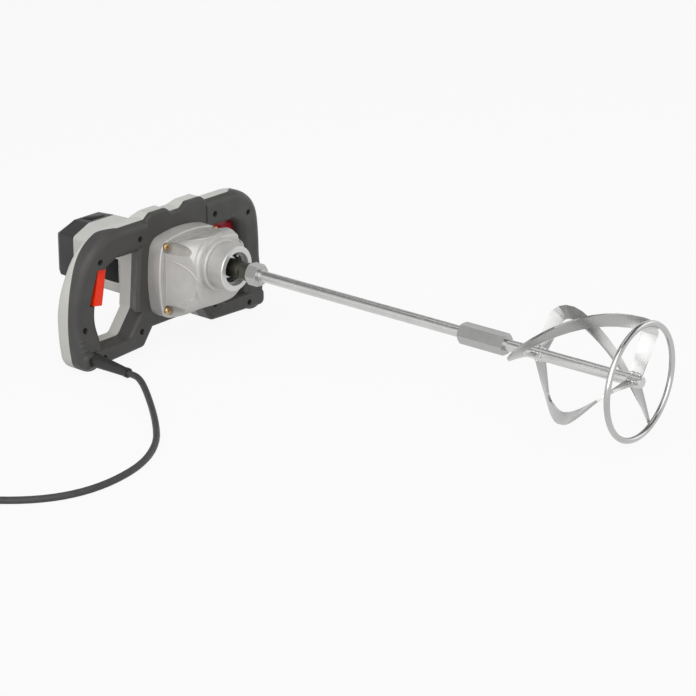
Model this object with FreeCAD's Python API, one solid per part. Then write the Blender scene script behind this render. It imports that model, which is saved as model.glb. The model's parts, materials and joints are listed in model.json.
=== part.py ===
import FreeCAD, Part
import math
import os
from FreeCAD import Vector

# Mixing drill with two D handles, lying on a floor with its paddle fitted.
# It is drawn in the tool's own axes: x right seen from the paddle, y up, z forward along the spindle,
# with the spindle axis on x = y = 0. The last step lays it on the floor. All sizes are in millimetres.

# Clearances
RUN_GAP = 0.05
SEAT_GAP = 0.03
MOVE_GAP = 0.4
FACE_TOLERANCE = 0.001
CUT_SPARE = 1.0
END_PLAY = 0.5
LEAST_ROUND = 1.0
SLOT_END_FLAT = 0.01
WALL = 3.0

# Handle frame: two half shells. They part across the spindle, further forward along the top
CENTRE_FRONT_Z = -2.0
PARTING_Z = -22.0
PARTING_TOP_Z = -8.0
PARTING_STEP_Y = 40.0
PARTING_BEND_X = 107.5
WEB_REAR_Z = -38.0
TOP_REAR_Z = -21.0
TOP_SLOPE = 18.0
FRONT_ROUND = 5.0
REAR_ROUND = 3.0

# Handle bars: front and rear ends of the section on the arm, at the grip's waist and at the lobe
BAR_HALF = 17.0
BAR_ROUND = 10.0
ARM_FRONT_Z = -1.0
ARM_REAR_Z = -28.0
GRIP_FRONT_Z = -11.0
GRIP_REAR_Z = -43.0
LOBE_FRONT_Z = -3.0
LOBE_REAR_Z = -43.0
GRIP_SHARE = 0.7
BAR_STATIONS = 11
ARM_Y = 31.5
ARM_START_X = 47.0
CORNER_X = 88.0
CORNER_R = 38.0
BAR_X = 133.5
BAR_MID_Y = -52.0
BAR_END_Y = -86.0

# Frame centre and feet
FRAME_TOP_Y = 48.0
BUMP_RISE = 6.0
BUMP_INNER_X = 16.0
BUMP_OUTER_X = 40.0
BUMP_SLOPE = 8.0
BODY_HALF = 50.0
BODY_LOW_HALF = 57.0
BODY_LOW_Y = -53.0
BODY_ROUND = 4.0
BODY_BOTTOM_Y = -75.0
BODY_BOTTOM_IN = 8.0
FLARE = 9.0
FLARE_EDGE = 3.0
NOTCH_TOP_X = 40.0
FOOT_BOTTOM_Y = -95.0
FOOT_END_DROP = 4.0
FOOT_TOP_Y = -79.0
FOOT_INNER_X = 55.0
FOOT_WEB_X = 77.0
FOOT_END_X = 145.0
FOOT_RISE = 14.0
FOOT_ROUND = 7.0

# Screws that hold the two frame halves together
FRAME_SCREW_SPOTS = ((59.5, 30.0), (117.5, 18.0), (137.0, -55.0), (59.0, -76.0), (117.0, -89.5))
FRAME_SCREW_R = 2.0
FRAME_SCREW_HEAD_R = 3.4
FRAME_SCREW_HEAD_LENGTH = 2.6
FRAME_SCREW_SEAT_Z = -18.0
FRAME_BOSS_R = 5.2
FRAME_SCREW_TIP_Z = -33.0

# Motor barrel and its cap
MOTOR_Y = -21.0
BARREL_HALF = 45.0
BARREL_HALF_TALL = 35.5
BARREL_TOP_HALF = 20.0
BARREL_SIDE_HALF = 25.0
BARREL_ROUND = 5.0
BARREL_REAR_Z = -119.0
SHOULDER_Z = -48.0
SHOULDER_GROW = 8.0
CAP_REAR_Z = -150.0
CAP_DRAFT = 1.5
CAP_BEVEL = 7.0
CAP_BEVEL_SHARE = 0.7
CAP_SLOT_COUNT = 4
CAP_SLOT_PITCH = 8.0
CAP_SLOT_WIDTH = 3.5
CAP_SLOT_LENGTH = 13.0
CAP_SLOT_Y = 19.0
CAP_SCREW_X = 32.0
CAP_SCREW_Y = 20.0
CAP_SCREW_R = 2.0
CAP_SCREW_HEAD_R = 3.4
CAP_SCREW_HEAD_LENGTH = 2.6
CAP_SCREW_SEAT_Z = -131.0
CAP_SCREW_BITE = 12.0
CAP_BOSS_R = 4.8
BARREL_BOSS_R = 8.5

# Gearbox cover, a casting that is screwed to the front of the frame
GEAR_CENTRE_Y = -18.0
FLANGE_HALF = 48.5
FLANGE_SIDE_R = 160.0
FLANGE_CORNER_R = 16.0
FLANGE_FRONT_Z = 16.0
FLANGE_ROUND = 2.0
LEDGE = 3.0
DOME_MID_Z = 36.0
DOME_MID_HALF = 44.5
DOME_TOP_Z = 52.0
DOME_TOP_HALF = 39.5
DOME_TOP_CORNER_R = 28.0
DOME_TOP_X = 6.0
DOME_TOP_Y = -8.0
DOME_EDGE_ROUND = 6.0
SHOULDER_RING_R = 29.0
SHOULDER_RING_Z = 64.0
SHOULDER_RING_ROUND = 2.5
NOSE_R = 24.8
NOSE_FRONT_Z = 84.0
NOSE_CHAMFER = 1.0
NOSE_BORE_GAP = 2.0
CAVITY_HALF = 41.0
CAVITY_CORNER_R = 26.0
CAVITY_STEP_Z = 13.0
CAVITY_MID_HALF = 37.0
CAVITY_MID_X = 2.0
CAVITY_MID_Y = -15.0
CAVITY_TOP_HALF = 29.0
CAVITY_TOP_X = 5.0
CAVITY_TOP_Y = -7.0
CAVITY_TOP_Z = 50.0
SCOOP_SINK = 4.5
SCOOP_LIP = 1.5
SCOOP_TIP_Z = 53.0
GEAR_SCREW_X = 38.7
GEAR_SCREW_Y = 36.3
GEAR_SCREW_MID_Y = -16.0
GEAR_SCREW_R = 2.5
GEAR_SCREW_HEAD_R = 4.4
GEAR_SCREW_HEAD_LENGTH = 3.4
GEAR_SCREW_BITE = 14.0
GEAR_BOSS_R = 6.0
SPOT_FACE_R = 7.0

# Bearings and seals
FRONT_BEARING_R = 18.5
FRONT_BEARING_WIDTH = 9.0
FRONT_BEARING_Z = 64.0
CIRCLIP_Z = 75.0
CIRCLIP_THICK = 1.5
CIRCLIP_DEPTH = 1.2
CIRCLIP_WIDTH = 3.2
CIRCLIP_TURN = 70.0
CIRCLIP_HALF_GAP = 14.0
CIRCLIP_EAR_TURN = 6.0
CIRCLIP_EAR_IN = 0.6
CIRCLIP_EAR_R = 2.4
CIRCLIP_HOLE_R = 1.0
REAR_BUSH_R = 7.0
REAR_BUSH_LENGTH = 9.0
LAY_BUSH_R = 6.0
LAY_BUSH_LENGTH = 9.0
ARM_BEARING_R = 11.0
ARM_BEARING_WIDTH = 7.0
REAR_ARM_BEARING_R = 9.5
REAR_ARM_BEARING_WIDTH = 6.0
REAR_SEAT_STEP = 1.0
REAR_SEAT_Z = CAP_REAR_Z + WALL + REAR_SEAT_STEP
BEARING_RING_SHARE = 0.27
SHIELD_SINK = 0.8

# Bearing plate between motor and gears
PLATE_R = 39.0
PLATE_REAR_Z = -17.0
PLATE_RIM = 4.0
PLATE_RIM_THICK = 4.0
PLATE_RIM_LIP = 1.0
PLATE_LIP = 2.0

# Gear train
PRESSURE_ANGLE = 25.0
ADDENDUM = 0.8
DEDENDUM = 1.1
BACKLASH = 0.14
LEAST_FLANK = 0.05
MOTOR_MODULE = 0.8
MOTOR_PINION_TEETH = 9
LAY_GEAR_TEETH = 44
OUT_MODULE = 1.25
LAY_PINION_TEETH = 10
OUT_GEAR_TEETH = 32
LAY_GEAR_Z = 3.0
LAY_GEAR_WIDTH = 9.0
LAY_PINION_Z = 14.0
OUT_GEAR_Z = 16.0
OUT_GEAR_WIDTH = 14.0
LAY_SHAFT_R = 4.0
LAY_HUB_R = 7.2
LAY_BUSH_GAP = 3.0
LAY_PINION_SPARE = 2.0
LAY_BOSS_WALL = 3.0

# Spindle and paddle
SPINDLE_R = 10.0
SPINDLE_TAIL_R = 5.0
SPINDLE_TAIL_STEP = 3.0
SPINDLE_GEAR_R = 8.0
SPINDLE_FRONT_Z = 105.0
SPINDLE_FLAT_AF = 17.0
SPINDLE_FLAT_LENGTH = 12.0
THREAD_R = 7.0
THREAD_DEPTH = 24.0
THREAD_SHOW = 1.5
LOCK_NUT_AF = 22.0
LOCK_NUT_LENGTH = 13.5
ROD_R = 6.0
COUPLING_Z = 384.0
COUPLING_LENGTH = 54.0
COUPLING_AF = 20.0
COUPLING_GAP = 4.0
HEX_CHAMFER = 1.6
HEX_CHAMFER_SLOPE = 0.6
ROD_FRONT_Z = 594.0
RING_Z = 591.0
RING_R = 57.0
RING_BAR_R = 3.0
BLADE_COUNT = 3
BLADE_START_Z = 470.0
BLADE_TURN = -120.0
BLADE_PHASE = 54.0
BLADE_WIDTH = 12.5
BLADE_THICK = 2.5
BLADE_CORNER_R = 14.0
BLADE_END_CORNER_R = 7.0
BLADE_SEAT_GAP = 0.6
BLADE_STEPS = 10
BLADE_ROOT_CUT = 5.0

# Motor
FIELD_FRONT_Z = -44.0
FIELD_REAR_Z = -94.0
FIELD_BORE_R = 23.5
FIELD_COIL_OUTER_R = 31.0
FIELD_COIL_ARC = 100.0
FIELD_COIL_REACH = 7.0
FIELD_COIL_SIDE = 27.0
FIELD_COIL_SINK = 0.8
FIELD_COIL_ROOM = 0.2
ARMATURE_R = 22.9
ARMATURE_SLOTS = 12
ARMATURE_SLOT_WIDTH = 3.0
ARMATURE_SLOT_DEPTH = 8.0
ARMATURE_SLOT_OPEN = 0.5
ARMATURE_SHAFT_R = 5.0
ARMATURE_FRONT_R = 4.0
ARMATURE_REAR_R = 3.5
SHAFT_STEP = 1.0
WINDING_R = 19.0
WINDING_REACH = 6.0
COMMUTATOR_R = 12.5
COMMUTATOR_LENGTH = 13.0
COMMUTATOR_REAR_Z = -117.0
COMMUTATOR_BARS = 12
COMMUTATOR_CUT_DEPTH = 1.0
COMMUTATOR_CUT_HALF = 0.35
FAN_R = 29.0
FAN_REAR_Z = -35.0
FAN_FRONT_Z = -21.0
FAN_DISC = 2.0
FAN_HUB_R = 9.0
FAN_BLADES = 9
FAN_BLADE_THICK = 1.6
FAN_ROOT = 0.5
BRUSH_TALL = 6.0
BRUSH_DEEP = 10.0
BRUSH_HOLDER_WALL = 1.5
BRUSH_HOLDER_END = 2.0
BRUSH_TIP = 2.0
BRUSH_LENGTH = 20.0

# Triggers and switches
TRIGGER_TOP_Y = 6.0
TRIGGER_LOW_Y = -33.5
TRIGGER_TOP_X = 102.0
TRIGGER_LOW_X = 109.5
TRIGGER_MID_Z = -18.0
TRIGGER_WIDTH = 17.0
TRIGGER_DEEP = 14.0
RIGHT_TRIGGER_MID_Z = -28.5
RIGHT_TRIGGER_OUT = 12.0
TRIGGER_TRAVEL = 5.0
TRIGGER_ROUND = 3.5
SWITCH_DEEP = 6.0
SWITCH_DROP = 20.0
SWITCH_TALL = 24.0
SWITCH_WIDTH = 16.0
SWITCH_MID_Z = -27.2
SWITCH_ROUND = 1.0

# Mains cord: it leaves the left handle through a sleeve that points forward and a little down
SLEEVE_X = -130.0
SLEEVE_Y = -88.0
SLEEVE_ROOT_Z = -8.0
SLEEVE_DROOP = 3.0
SLEEVE_LENGTH = 54.0
SLEEVE_ROOT_R = 7.5
SLEEVE_TIP_R = 4.8
SLEEVE_COLLAR_R = 5.4
SLEEVE_COLLAR_LENGTH = 4.0
SLEEVE_RING_R = 9.0
SLEEVE_RING_REAR = -8.0
SLEEVE_RING_FRONT = -4.0
SLEEVE_STRAIGHT = 8.0
CORD_R = 3.5
CORD_HIDDEN = 10.0
CORD_LEAD = 16.0
ARC_SHARE = 0.45

# Cord on the floor, seen from above and counted from below the spindle's zero, up to the coil
CORD_ROUTE = (
    (-161.0, -97.0), (-216.0, -161.0), (-263.0, -207.0), (-318.0, -235.0), (-384.0, -238.0), (-432.0, -208.0),
    (-468.0, -145.0),
)
COIL_START = (-490.5, -89.0)
COIL_R = 50.0
COIL_TURNS = 4
COIL_GAP = 0.6
COIL_TAIL = 58.0
TIE_THICK = 1.0
TIE_GAP = 0.3
TIE_WIDTH = 9.0
TIE_HEAD = 5.0
PLUG_LENGTH = 40.0
PLUG_HALF_WIDTH = 18.0
PLUG_NECK = 5.5
PLUG_ROUND = 4.5
PLUG_TAPER = 3.0
PLUG_CROWN = 1.0
PLUG_PIN_R = 2.4
PLUG_PIN_LENGTH = 19.0
PLUG_PIN_SPACING = 19.0


def rounded_wire(corners, z):
    """Closed wire on the height z through (x, y, radius) corners, each one rounded by its radius."""
    ins = []
    outs = []
    mids = []
    for i, (x, y, radius) in enumerate(corners):
        here = Vector(x, y, z)
        before = Vector(*corners[i - 1][:2], z)
        after = Vector(*corners[(i + 1) % len(corners)][:2], z)
        to_before = (before - here).normalize()
        to_after = (after - here).normalize()
        half = to_before.getAngle(to_after) / 2
        reach = radius / math.tan(half)
        ins.append(here + to_before * reach)
        outs.append(here + to_after * reach)
        inward = (to_before + to_after).normalize()
        mids.append(here + inward * (radius / math.sin(half) - radius))
    edges = []
    for i, (x, y, radius) in enumerate(corners):
        if radius > 0:
            edges.append(Part.Arc(ins[i], mids[i], outs[i]).toShape())
        follow = ins[(i + 1) % len(corners)]
        if (follow - outs[i]).Length > 1e-6:
            edges.append(Part.LineSegment(outs[i], follow).toShape())
    return Part.Wire(edges)


def prism(corners, z0, z1):
    """Straight block between two heights on a rounded outline."""
    face = Part.Face(rounded_wire(corners, z0))
    return face.extrude(Vector(0, 0, z1 - z0))


def both_sides(half):
    """Closed outline from the corners of its right half, listed from top to bottom."""
    left = [(-x, y, radius) for x, y, radius in reversed(half)]
    return half + left


def rectangle(half_x, half_y, radius, x=0.0, y=0.0):
    """Corners of a rounded rectangle about (x, y)."""
    return [
        (x - half_x, y - half_y, radius),
        (x + half_x, y - half_y, radius),
        (x + half_x, y + half_y, radius),
        (x - half_x, y + half_y, radius),
    ]


def rod(radius, z0, z1, x=0.0, y=0.0):
    """Cylinder along z."""
    return Part.makeCylinder(radius, z1 - z0, Vector(x, y, z0))


def tube(outer, inner, z0, z1, x=0.0, y=0.0):
    """Ring along z."""
    return rod(outer, z0, z1, x, y).cut(rod(inner, z0, z1, x, y))


def fused(shapes):
    """One solid from several that touch."""
    return shapes[0].fuse(shapes[1:]).removeSplitter()


def mirrored(shape):
    """The same piece on the other side of the tool."""
    return shape.mirror(Vector(0, 0, 0), Vector(1, 0, 0))


def both(shape):
    """A right-hand piece with its left-hand twin."""
    return [shape, mirrored(shape)]


def hexagon(across_flats, z0, z1, chamfer):
    """Hexagonal bar along z with its corners turned down at both ends."""
    corner = across_flats / math.sqrt(3)
    points = [
        (corner * math.cos(math.radians(60 * i)), corner * math.sin(math.radians(60 * i)), 0.0)
        for i in range(6)
    ]
    bar = prism(points, z0, z1)
    small = corner - chamfer
    slope = chamfer * HEX_CHAMFER_SLOPE
    profile = Part.makePolygon(
        [
            Vector(0, 0, z0),
            Vector(small, 0, z0),
            Vector(corner, 0, z0 + slope),
            Vector(corner, 0, z1 - slope),
            Vector(small, 0, z1),
            Vector(0, 0, z1),
            Vector(0, 0, z0),
        ]
    )
    turned = Part.Face(profile).revolve(Vector(0, 0, 0), Vector(0, 0, 1), 360)
    return bar.common(turned)


# Handle bars

CORNER_Y = ARM_Y - CORNER_R
BAR_BOW_R = (
    ((BAR_X - CORNER_X) ** 2 + (BAR_MID_Y - CORNER_Y) ** 2 - CORNER_R**2) / (2 * (BAR_X - CORNER_X - CORNER_R))
)
BAR_BOW_X = BAR_X - BAR_BOW_R
TANGENT_ANGLE = math.degrees(math.atan2(CORNER_Y - BAR_MID_Y, CORNER_X - BAR_BOW_X))
BAR_END_ANGLE = math.degrees(math.asin((BAR_END_Y - BAR_MID_Y) / BAR_BOW_R))


def smooth(start, end, share):
    """Soft change from one value to another while the share runs from 0 to 1."""
    share = min(max(share, 0.0), 1.0)
    return start + (end - start) * share * share * (3 - 2 * share)


def bar_ends(share):
    """Front and rear of the bar's section at a share of its length behind the arm."""
    if share < GRIP_SHARE:
        part = share / GRIP_SHARE
        return smooth(ARM_FRONT_Z, GRIP_FRONT_Z, part), smooth(ARM_REAR_Z, GRIP_REAR_Z, part)
    part = (share - GRIP_SHARE) / (1 - GRIP_SHARE)
    return smooth(GRIP_FRONT_Z, LOBE_FRONT_Z, part), smooth(GRIP_REAR_Z, LOBE_REAR_Z, part)


def bar_section(centre, radius, angle, inset, ends, half_only=False):
    """Rounded section of the bar at an angle round a centre, smaller all round by the inset."""
    half = BAR_HALF - inset
    corner = BAR_ROUND - inset
    front = ends[0] - inset
    rear = ends[1] + inset
    flat = half - corner
    bend = corner * math.sqrt(0.5)
    direction = Vector(math.cos(math.radians(angle)), math.sin(math.radians(angle)), 0)

    def point(u, z):
        return centre + direction * (radius + u) + Vector(0, 0, z)

    def line(u0, z0, u1, z1):
        return Part.LineSegment(point(u0, z0), point(u1, z1)).toShape()

    def arc(u0, z0, u1, z1, u2, z2):
        return Part.Arc(point(u0, z0), point(u1, z1), point(u2, z2)).toShape()

    low = 0.0 if half_only else -flat
    edges = [
        line(half, rear + corner, half, front - corner),
        arc(half, front - corner, flat + bend, front - corner + bend, flat, front),
        line(flat, front, low, front),
    ]
    if half_only:
        edges.append(line(low, front, low, rear))
    else:
        edges += [
            arc(-flat, front, -flat - bend, front - corner + bend, -half, front - corner),
            line(-half, front - corner, -half, rear + corner),
            arc(-half, rear + corner, -flat - bend, rear + corner - bend, -flat, rear),
        ]
    edges += [
        line(low, rear, flat, rear),
        arc(flat, rear, flat + bend, rear + corner - bend, half, rear + corner),
    ]
    return Part.Wire(edges)


def handle_bar(inset):
    """Right arm, corner, bowed grip and round lobe, or their hollow when inset by the wall."""
    down = Vector(0, 0, -1)
    corner_centre = Vector(CORNER_X, CORNER_Y, 0)
    bow_centre = Vector(BAR_BOW_X, BAR_MID_Y, 0)
    end_angle = math.radians(BAR_END_ANGLE)
    end = bow_centre + Vector(math.cos(end_angle), math.sin(end_angle), 0) * BAR_BOW_R
    first = bar_section(corner_centre, CORNER_R, 90, inset, bar_ends(0.0))
    arm = Part.Face(first).extrude(Vector(ARM_START_X - CORNER_X, 0, 0))
    bend_length = CORNER_R * math.radians(90 - TANGENT_ANGLE)
    grip_length = BAR_BOW_R * math.radians(TANGENT_ANGLE - BAR_END_ANGLE)
    sections = []
    for i in range(BAR_STATIONS):
        share = i / (BAR_STATIONS - 1)
        run = share * (bend_length + grip_length)
        if run < bend_length:
            angle = 90 - math.degrees(run / CORNER_R)
            sections.append(bar_section(corner_centre, CORNER_R, angle, inset, bar_ends(share)))
        else:
            angle = TANGENT_ANGLE - math.degrees((run - bend_length) / BAR_BOW_R)
            sections.append(bar_section(bow_centre, BAR_BOW_R, angle, inset, bar_ends(share)))
    grip = Part.makeLoft(sections, True, False)
    lobe = Part.Face(bar_section(end, 0, BAR_END_ANGLE, inset, bar_ends(1.0), half_only=True))
    lobe = lobe.revolve(end, down, 180)
    return fused([arm, grip, lobe])


def body_half_outline(inset=0.0):
    """Right half of the frame's centre, from the top bumps to the underside."""
    wall_x = BODY_HALF - inset
    low_x = BODY_LOW_HALF - inset
    return [
        (BUMP_INNER_X - BUMP_SLOPE, FRAME_TOP_Y - inset, BODY_ROUND),
        (BUMP_INNER_X, FRAME_TOP_Y + BUMP_RISE - inset, BODY_ROUND),
        (BUMP_OUTER_X, FRAME_TOP_Y + BUMP_RISE - inset, BODY_ROUND),
        (BUMP_OUTER_X + BUMP_SLOPE, FRAME_TOP_Y - inset, BODY_ROUND),
        (wall_x, ARM_Y, BODY_ROUND),
        (low_x, BODY_LOW_Y, FOOT_ROUND),
        (low_x - BODY_BOTTOM_IN, BODY_BOTTOM_Y + inset, FOOT_ROUND),
    ]


def foot_outline(inset=0.0):
    """Right foot with the slanted web above it."""
    convex = FOOT_ROUND - inset
    hollow = FOOT_ROUND + inset
    slant = FOOT_RISE * (BODY_LOW_HALF - BODY_HALF) / (ARM_Y - BODY_LOW_Y)
    return [
        (NOTCH_TOP_X + inset, BODY_LOW_Y + FOOT_RISE - inset, convex),
        (BODY_LOW_HALF - slant - inset, BODY_LOW_Y + FOOT_RISE - inset, convex),
        (BODY_LOW_HALF - inset, BODY_LOW_Y, hollow),
        (FOOT_WEB_X - inset, FOOT_TOP_Y - inset, hollow),
        (FOOT_END_X - inset, FOOT_TOP_Y - inset, convex),
        (FOOT_END_X - inset, FOOT_BOTTOM_Y - FOOT_END_DROP + inset, convex),
        (FOOT_INNER_X + inset, FOOT_BOTTOM_Y + inset, convex),
        (NOTCH_TOP_X + inset, BODY_BOTTOM_Y + inset, convex),
    ]


def rounded_end(shape, z, radius):
    """Rounds every edge that lies on the end face at height z."""
    edges = [e for e in shape.Edges if max(abs(e.BoundBox.ZMin - z), abs(e.BoundBox.ZMax - z)) < FACE_TOLERANCE]
    return shape.makeFillet(radius, edges)


def turned_down(shape, z, size):
    """Chamfers every edge that lies on the end face at height z."""
    edges = [e for e in shape.Edges if max(abs(e.BoundBox.ZMin - z), abs(e.BoundBox.ZMax - z)) < FACE_TOLERANCE]
    return shape.makeChamfer(size, edges)


def wall_flare():
    """Wedge that widens the frame's centre towards the gearbox, beside the right finger opening."""
    top = Vector(BODY_HALF, ARM_Y, 0)
    along = Vector(BODY_LOW_HALF, BODY_LOW_Y, 0) - top
    out = Vector(-along.y, along.x, 0).normalize()
    inner = -FLARE_EDGE
    corners = [
        (inner, PARTING_Z),
        (0.0, PARTING_Z),
        (FLARE, CENTRE_FRONT_Z - FLARE_EDGE),
        (FLARE - FLARE_EDGE, CENTRE_FRONT_Z),
        (inner, CENTRE_FRONT_Z),
    ]
    points = [top + out * reach + Vector(0, 0, z) for reach, z in corners]
    return Part.Face(Part.makePolygon(points + points[:1])).extrude(along)


def barrel_outline(grow=0.0):
    """Eight-sided outline of the motor barrel, larger by grow all round."""
    radius = max(BARREL_ROUND + grow, LEAST_ROUND)
    top = BARREL_TOP_HALF + grow / 2
    side = BARREL_SIDE_HALF + grow / 2
    half = BARREL_HALF + grow
    tall = BARREL_HALF_TALL + grow
    return both_sides([
        (top, MOTOR_Y + tall, radius),
        (half, MOTOR_Y + side, radius),
        (half, MOTOR_Y - side, radius),
        (top, MOTOR_Y - tall, radius),
    ])


def frame_blank():
    """Outer form of both halves: centre, bars, feet, shoulder and motor barrel."""
    body = prism(both_sides(body_half_outline()), WEB_REAR_Z, CENTRE_FRONT_Z)
    body = rounded_end(body, CENTRE_FRONT_Z, REAR_ROUND)
    reach = 2 * FOOT_END_X
    slope = Part.makePolygon([
        Vector(-reach, FRAME_TOP_Y + BUMP_RISE, TOP_REAR_Z),
        Vector(-reach, FRAME_TOP_Y + BUMP_RISE - TOP_SLOPE, WEB_REAR_Z),
        Vector(-reach, 2 * FRAME_TOP_Y, WEB_REAR_Z),
        Vector(-reach, 2 * FRAME_TOP_Y, TOP_REAR_Z),
        Vector(-reach, FRAME_TOP_Y + BUMP_RISE, TOP_REAR_Z),
    ])
    body = body.cut(Part.Face(slope).extrude(Vector(2 * reach, 0, 0)))
    foot = rounded_end(prism(foot_outline(), WEB_REAR_Z, CENTRE_FRONT_Z), CENTRE_FRONT_Z, FRONT_ROUND)
    foot = rounded_end(foot, WEB_REAR_Z, REAR_ROUND)
    wide = rounded_wire(barrel_outline(SHOULDER_GROW), WEB_REAR_Z + REAR_ROUND)
    shoulder = Part.makeLoft([wide, rounded_wire(barrel_outline(), SHOULDER_Z)], True, True)
    barrel = prism(barrel_outline(), SHOULDER_Z, BARREL_REAR_Z)
    side = [wall_flare(), foot, handle_bar(0.0)]
    return fused([body, shoulder, barrel] + side + [mirrored(piece) for piece in side])


def frame_hollow():
    """Room inside the two halves."""
    hollow = [prism(both_sides(body_half_outline(WALL)), WEB_REAR_Z + WALL, CENTRE_FRONT_Z - WALL)]
    hollow.append(prism(barrel_outline(-WALL), WEB_REAR_Z + 2 * WALL, BARREL_REAR_Z))
    hollow += both(handle_bar(WALL))
    hollow += both(prism(foot_outline(WALL), WEB_REAR_Z + WALL, CENTRE_FRONT_Z - WALL))
    return hollow


def front_space():
    """Everything in front of the parting faces."""
    reach = 2 * FOOT_END_X
    corners = [
        (-reach, reach), (-reach, PARTING_Z), (-PARTING_BEND_X, PARTING_Z), (-CORNER_X, PARTING_TOP_Z),
        (CORNER_X, PARTING_TOP_Z), (PARTING_BEND_X, PARTING_Z), (reach, PARTING_Z), (reach, reach),
    ]
    points = [Vector(x, PARTING_STEP_Y, z) for x, z in corners]
    upper = Part.Face(Part.makePolygon(points + points[:1])).extrude(Vector(0, reach, 0))
    lower = Part.makeBox(2 * reach, reach, reach - PARTING_Z, Vector(-reach, PARTING_STEP_Y - reach, PARTING_Z))
    return upper.fuse(lower).removeSplitter()


def frame_spots():
    """Places of all the screws that join the two halves."""
    return [(side * x, y) for x, y in FRAME_SCREW_SPOTS for side in (1, -1)]


def gear_spots():
    """Places of the four gearbox screws."""
    return [(i * GEAR_SCREW_X, GEAR_SCREW_MID_Y + j * GEAR_SCREW_Y) for i in (1, -1) for j in (1, -1)]


def cap_spots():
    """Places of the four cap screws."""
    return [(i * CAP_SCREW_X, MOTOR_Y + j * CAP_SCREW_Y) for i in (1, -1) for j in (1, -1)]


# Trigger, drawn in its own tilted axes: u outwards into the handle, w down along the finger face

TRIGGER_SLANT = math.atan2(TRIGGER_LOW_X - TRIGGER_TOP_X, TRIGGER_TOP_Y - TRIGGER_LOW_Y)
TRIGGER_LENGTH = math.hypot(TRIGGER_LOW_X - TRIGGER_TOP_X, TRIGGER_TOP_Y - TRIGGER_LOW_Y)
PRESS = Vector(math.cos(TRIGGER_SLANT), math.sin(TRIGGER_SLANT), 0)
ALONG = Vector(math.sin(TRIGGER_SLANT), -math.cos(TRIGGER_SLANT), 0)


def trigger_point(u, w):
    """Point beside the right trigger, counted from the top of its finger face."""
    return Vector(TRIGGER_TOP_X, TRIGGER_TOP_Y, 0) + PRESS * u + ALONG * w


def slanted_block(u0, u1, w0, w1, z0, z1, radius=0.0):
    """Block in the trigger's axes between two heights."""
    corners = [trigger_point(*uw) for uw in ((u0, w0), (u1, w0), (u1, w1), (u0, w1))]
    return prism([(p.x, p.y, radius) for p in corners], z0, z1)


def trigger(mid_z, out):
    """Trigger of the right handle: a finger bar with a rounded face, moved out of the handle by a length."""
    half = TRIGGER_WIDTH / 2
    bar = slanted_block(-out, TRIGGER_DEEP, 0, TRIGGER_LENGTH, mid_z - half, mid_z + half)
    face_u = -out + FACE_TOLERANCE
    face = [e for e in bar.Edges if all((v.Point - trigger_point(0, 0)).dot(PRESS) < face_u for v in e.Vertexes)]
    return bar.makeFillet(TRIGGER_ROUND, face)


def trigger_slot(mid_z, front_z):
    """Room that a trigger needs in the right handle's two halves, up to a height in front."""
    gap = MOVE_GAP
    end = TRIGGER_DEEP + TRIGGER_TRAVEL + gap
    rear = mid_z - TRIGGER_WIDTH / 2 - gap
    return slanted_block(-2 * TRIGGER_DEEP, end, -gap, TRIGGER_LENGTH + gap, rear, front_z)


def switch():
    """Switch body behind the right trigger."""
    start = TRIGGER_DEEP + TRIGGER_TRAVEL + MOVE_GAP
    half = SWITCH_WIDTH / 2
    return slanted_block(
        start, start + SWITCH_DEEP, SWITCH_DROP, SWITCH_DROP + SWITCH_TALL,
        SWITCH_MID_Z - half, SWITCH_MID_Z + half, SWITCH_ROUND,
    )


SLEEVE_AXIS = Vector(0, -math.sin(math.radians(SLEEVE_DROOP)), math.cos(math.radians(SLEEVE_DROOP)))
SLEEVE_ROOT = Vector(SLEEVE_X, SLEEVE_Y, SLEEVE_ROOT_Z)


def sleeve_turned(profile):
    """Body turned about the sleeve's axis from (radius, distance) points."""
    points = [Vector(radius, 0, length) for radius, length in profile]
    solid = Part.Face(Part.makePolygon(points + points[:1])).revolve(Vector(0, 0, 0), Vector(0, 0, 1), 360)
    solid.Placement = FreeCAD.Placement(SLEEVE_ROOT, FreeCAD.Rotation(Vector(1, 0, 0), SLEEVE_DROOP))
    return solid


def cord_sleeve():
    """Tapered rubber sleeve with a collar at its tip and a groove ring inside the handle."""
    inner = CORD_R + SEAT_GAP
    tip = SLEEVE_LENGTH - SLEEVE_COLLAR_LENGTH
    return sleeve_turned([
        (inner, SLEEVE_RING_REAR),
        (SLEEVE_RING_R, SLEEVE_RING_REAR),
        (SLEEVE_RING_R, SLEEVE_RING_FRONT),
        (SLEEVE_ROOT_R, SLEEVE_RING_FRONT),
        (SLEEVE_ROOT_R, SLEEVE_STRAIGHT),
        (SLEEVE_TIP_R, tip),
        (SLEEVE_COLLAR_R, tip),
        (SLEEVE_COLLAR_R, SLEEVE_LENGTH),
        (inner, SLEEVE_LENGTH),
    ])


def sleeve_hole():
    """Hole for the sleeve in the front half, wider behind the wall for its inner ring."""
    gap = SEAT_GAP
    behind = SLEEVE_RING_REAR - SLEEVE_RING_R
    return sleeve_turned([
        (0.0, behind),
        (SLEEVE_RING_R + gap, behind),
        (SLEEVE_RING_R + gap, SLEEVE_RING_FRONT + gap),
        (SLEEVE_ROOT_R + gap, SLEEVE_RING_FRONT + gap),
        (SLEEVE_ROOT_R + gap, SLEEVE_LENGTH),
        (0.0, SLEEVE_LENGTH),
    ])


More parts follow.
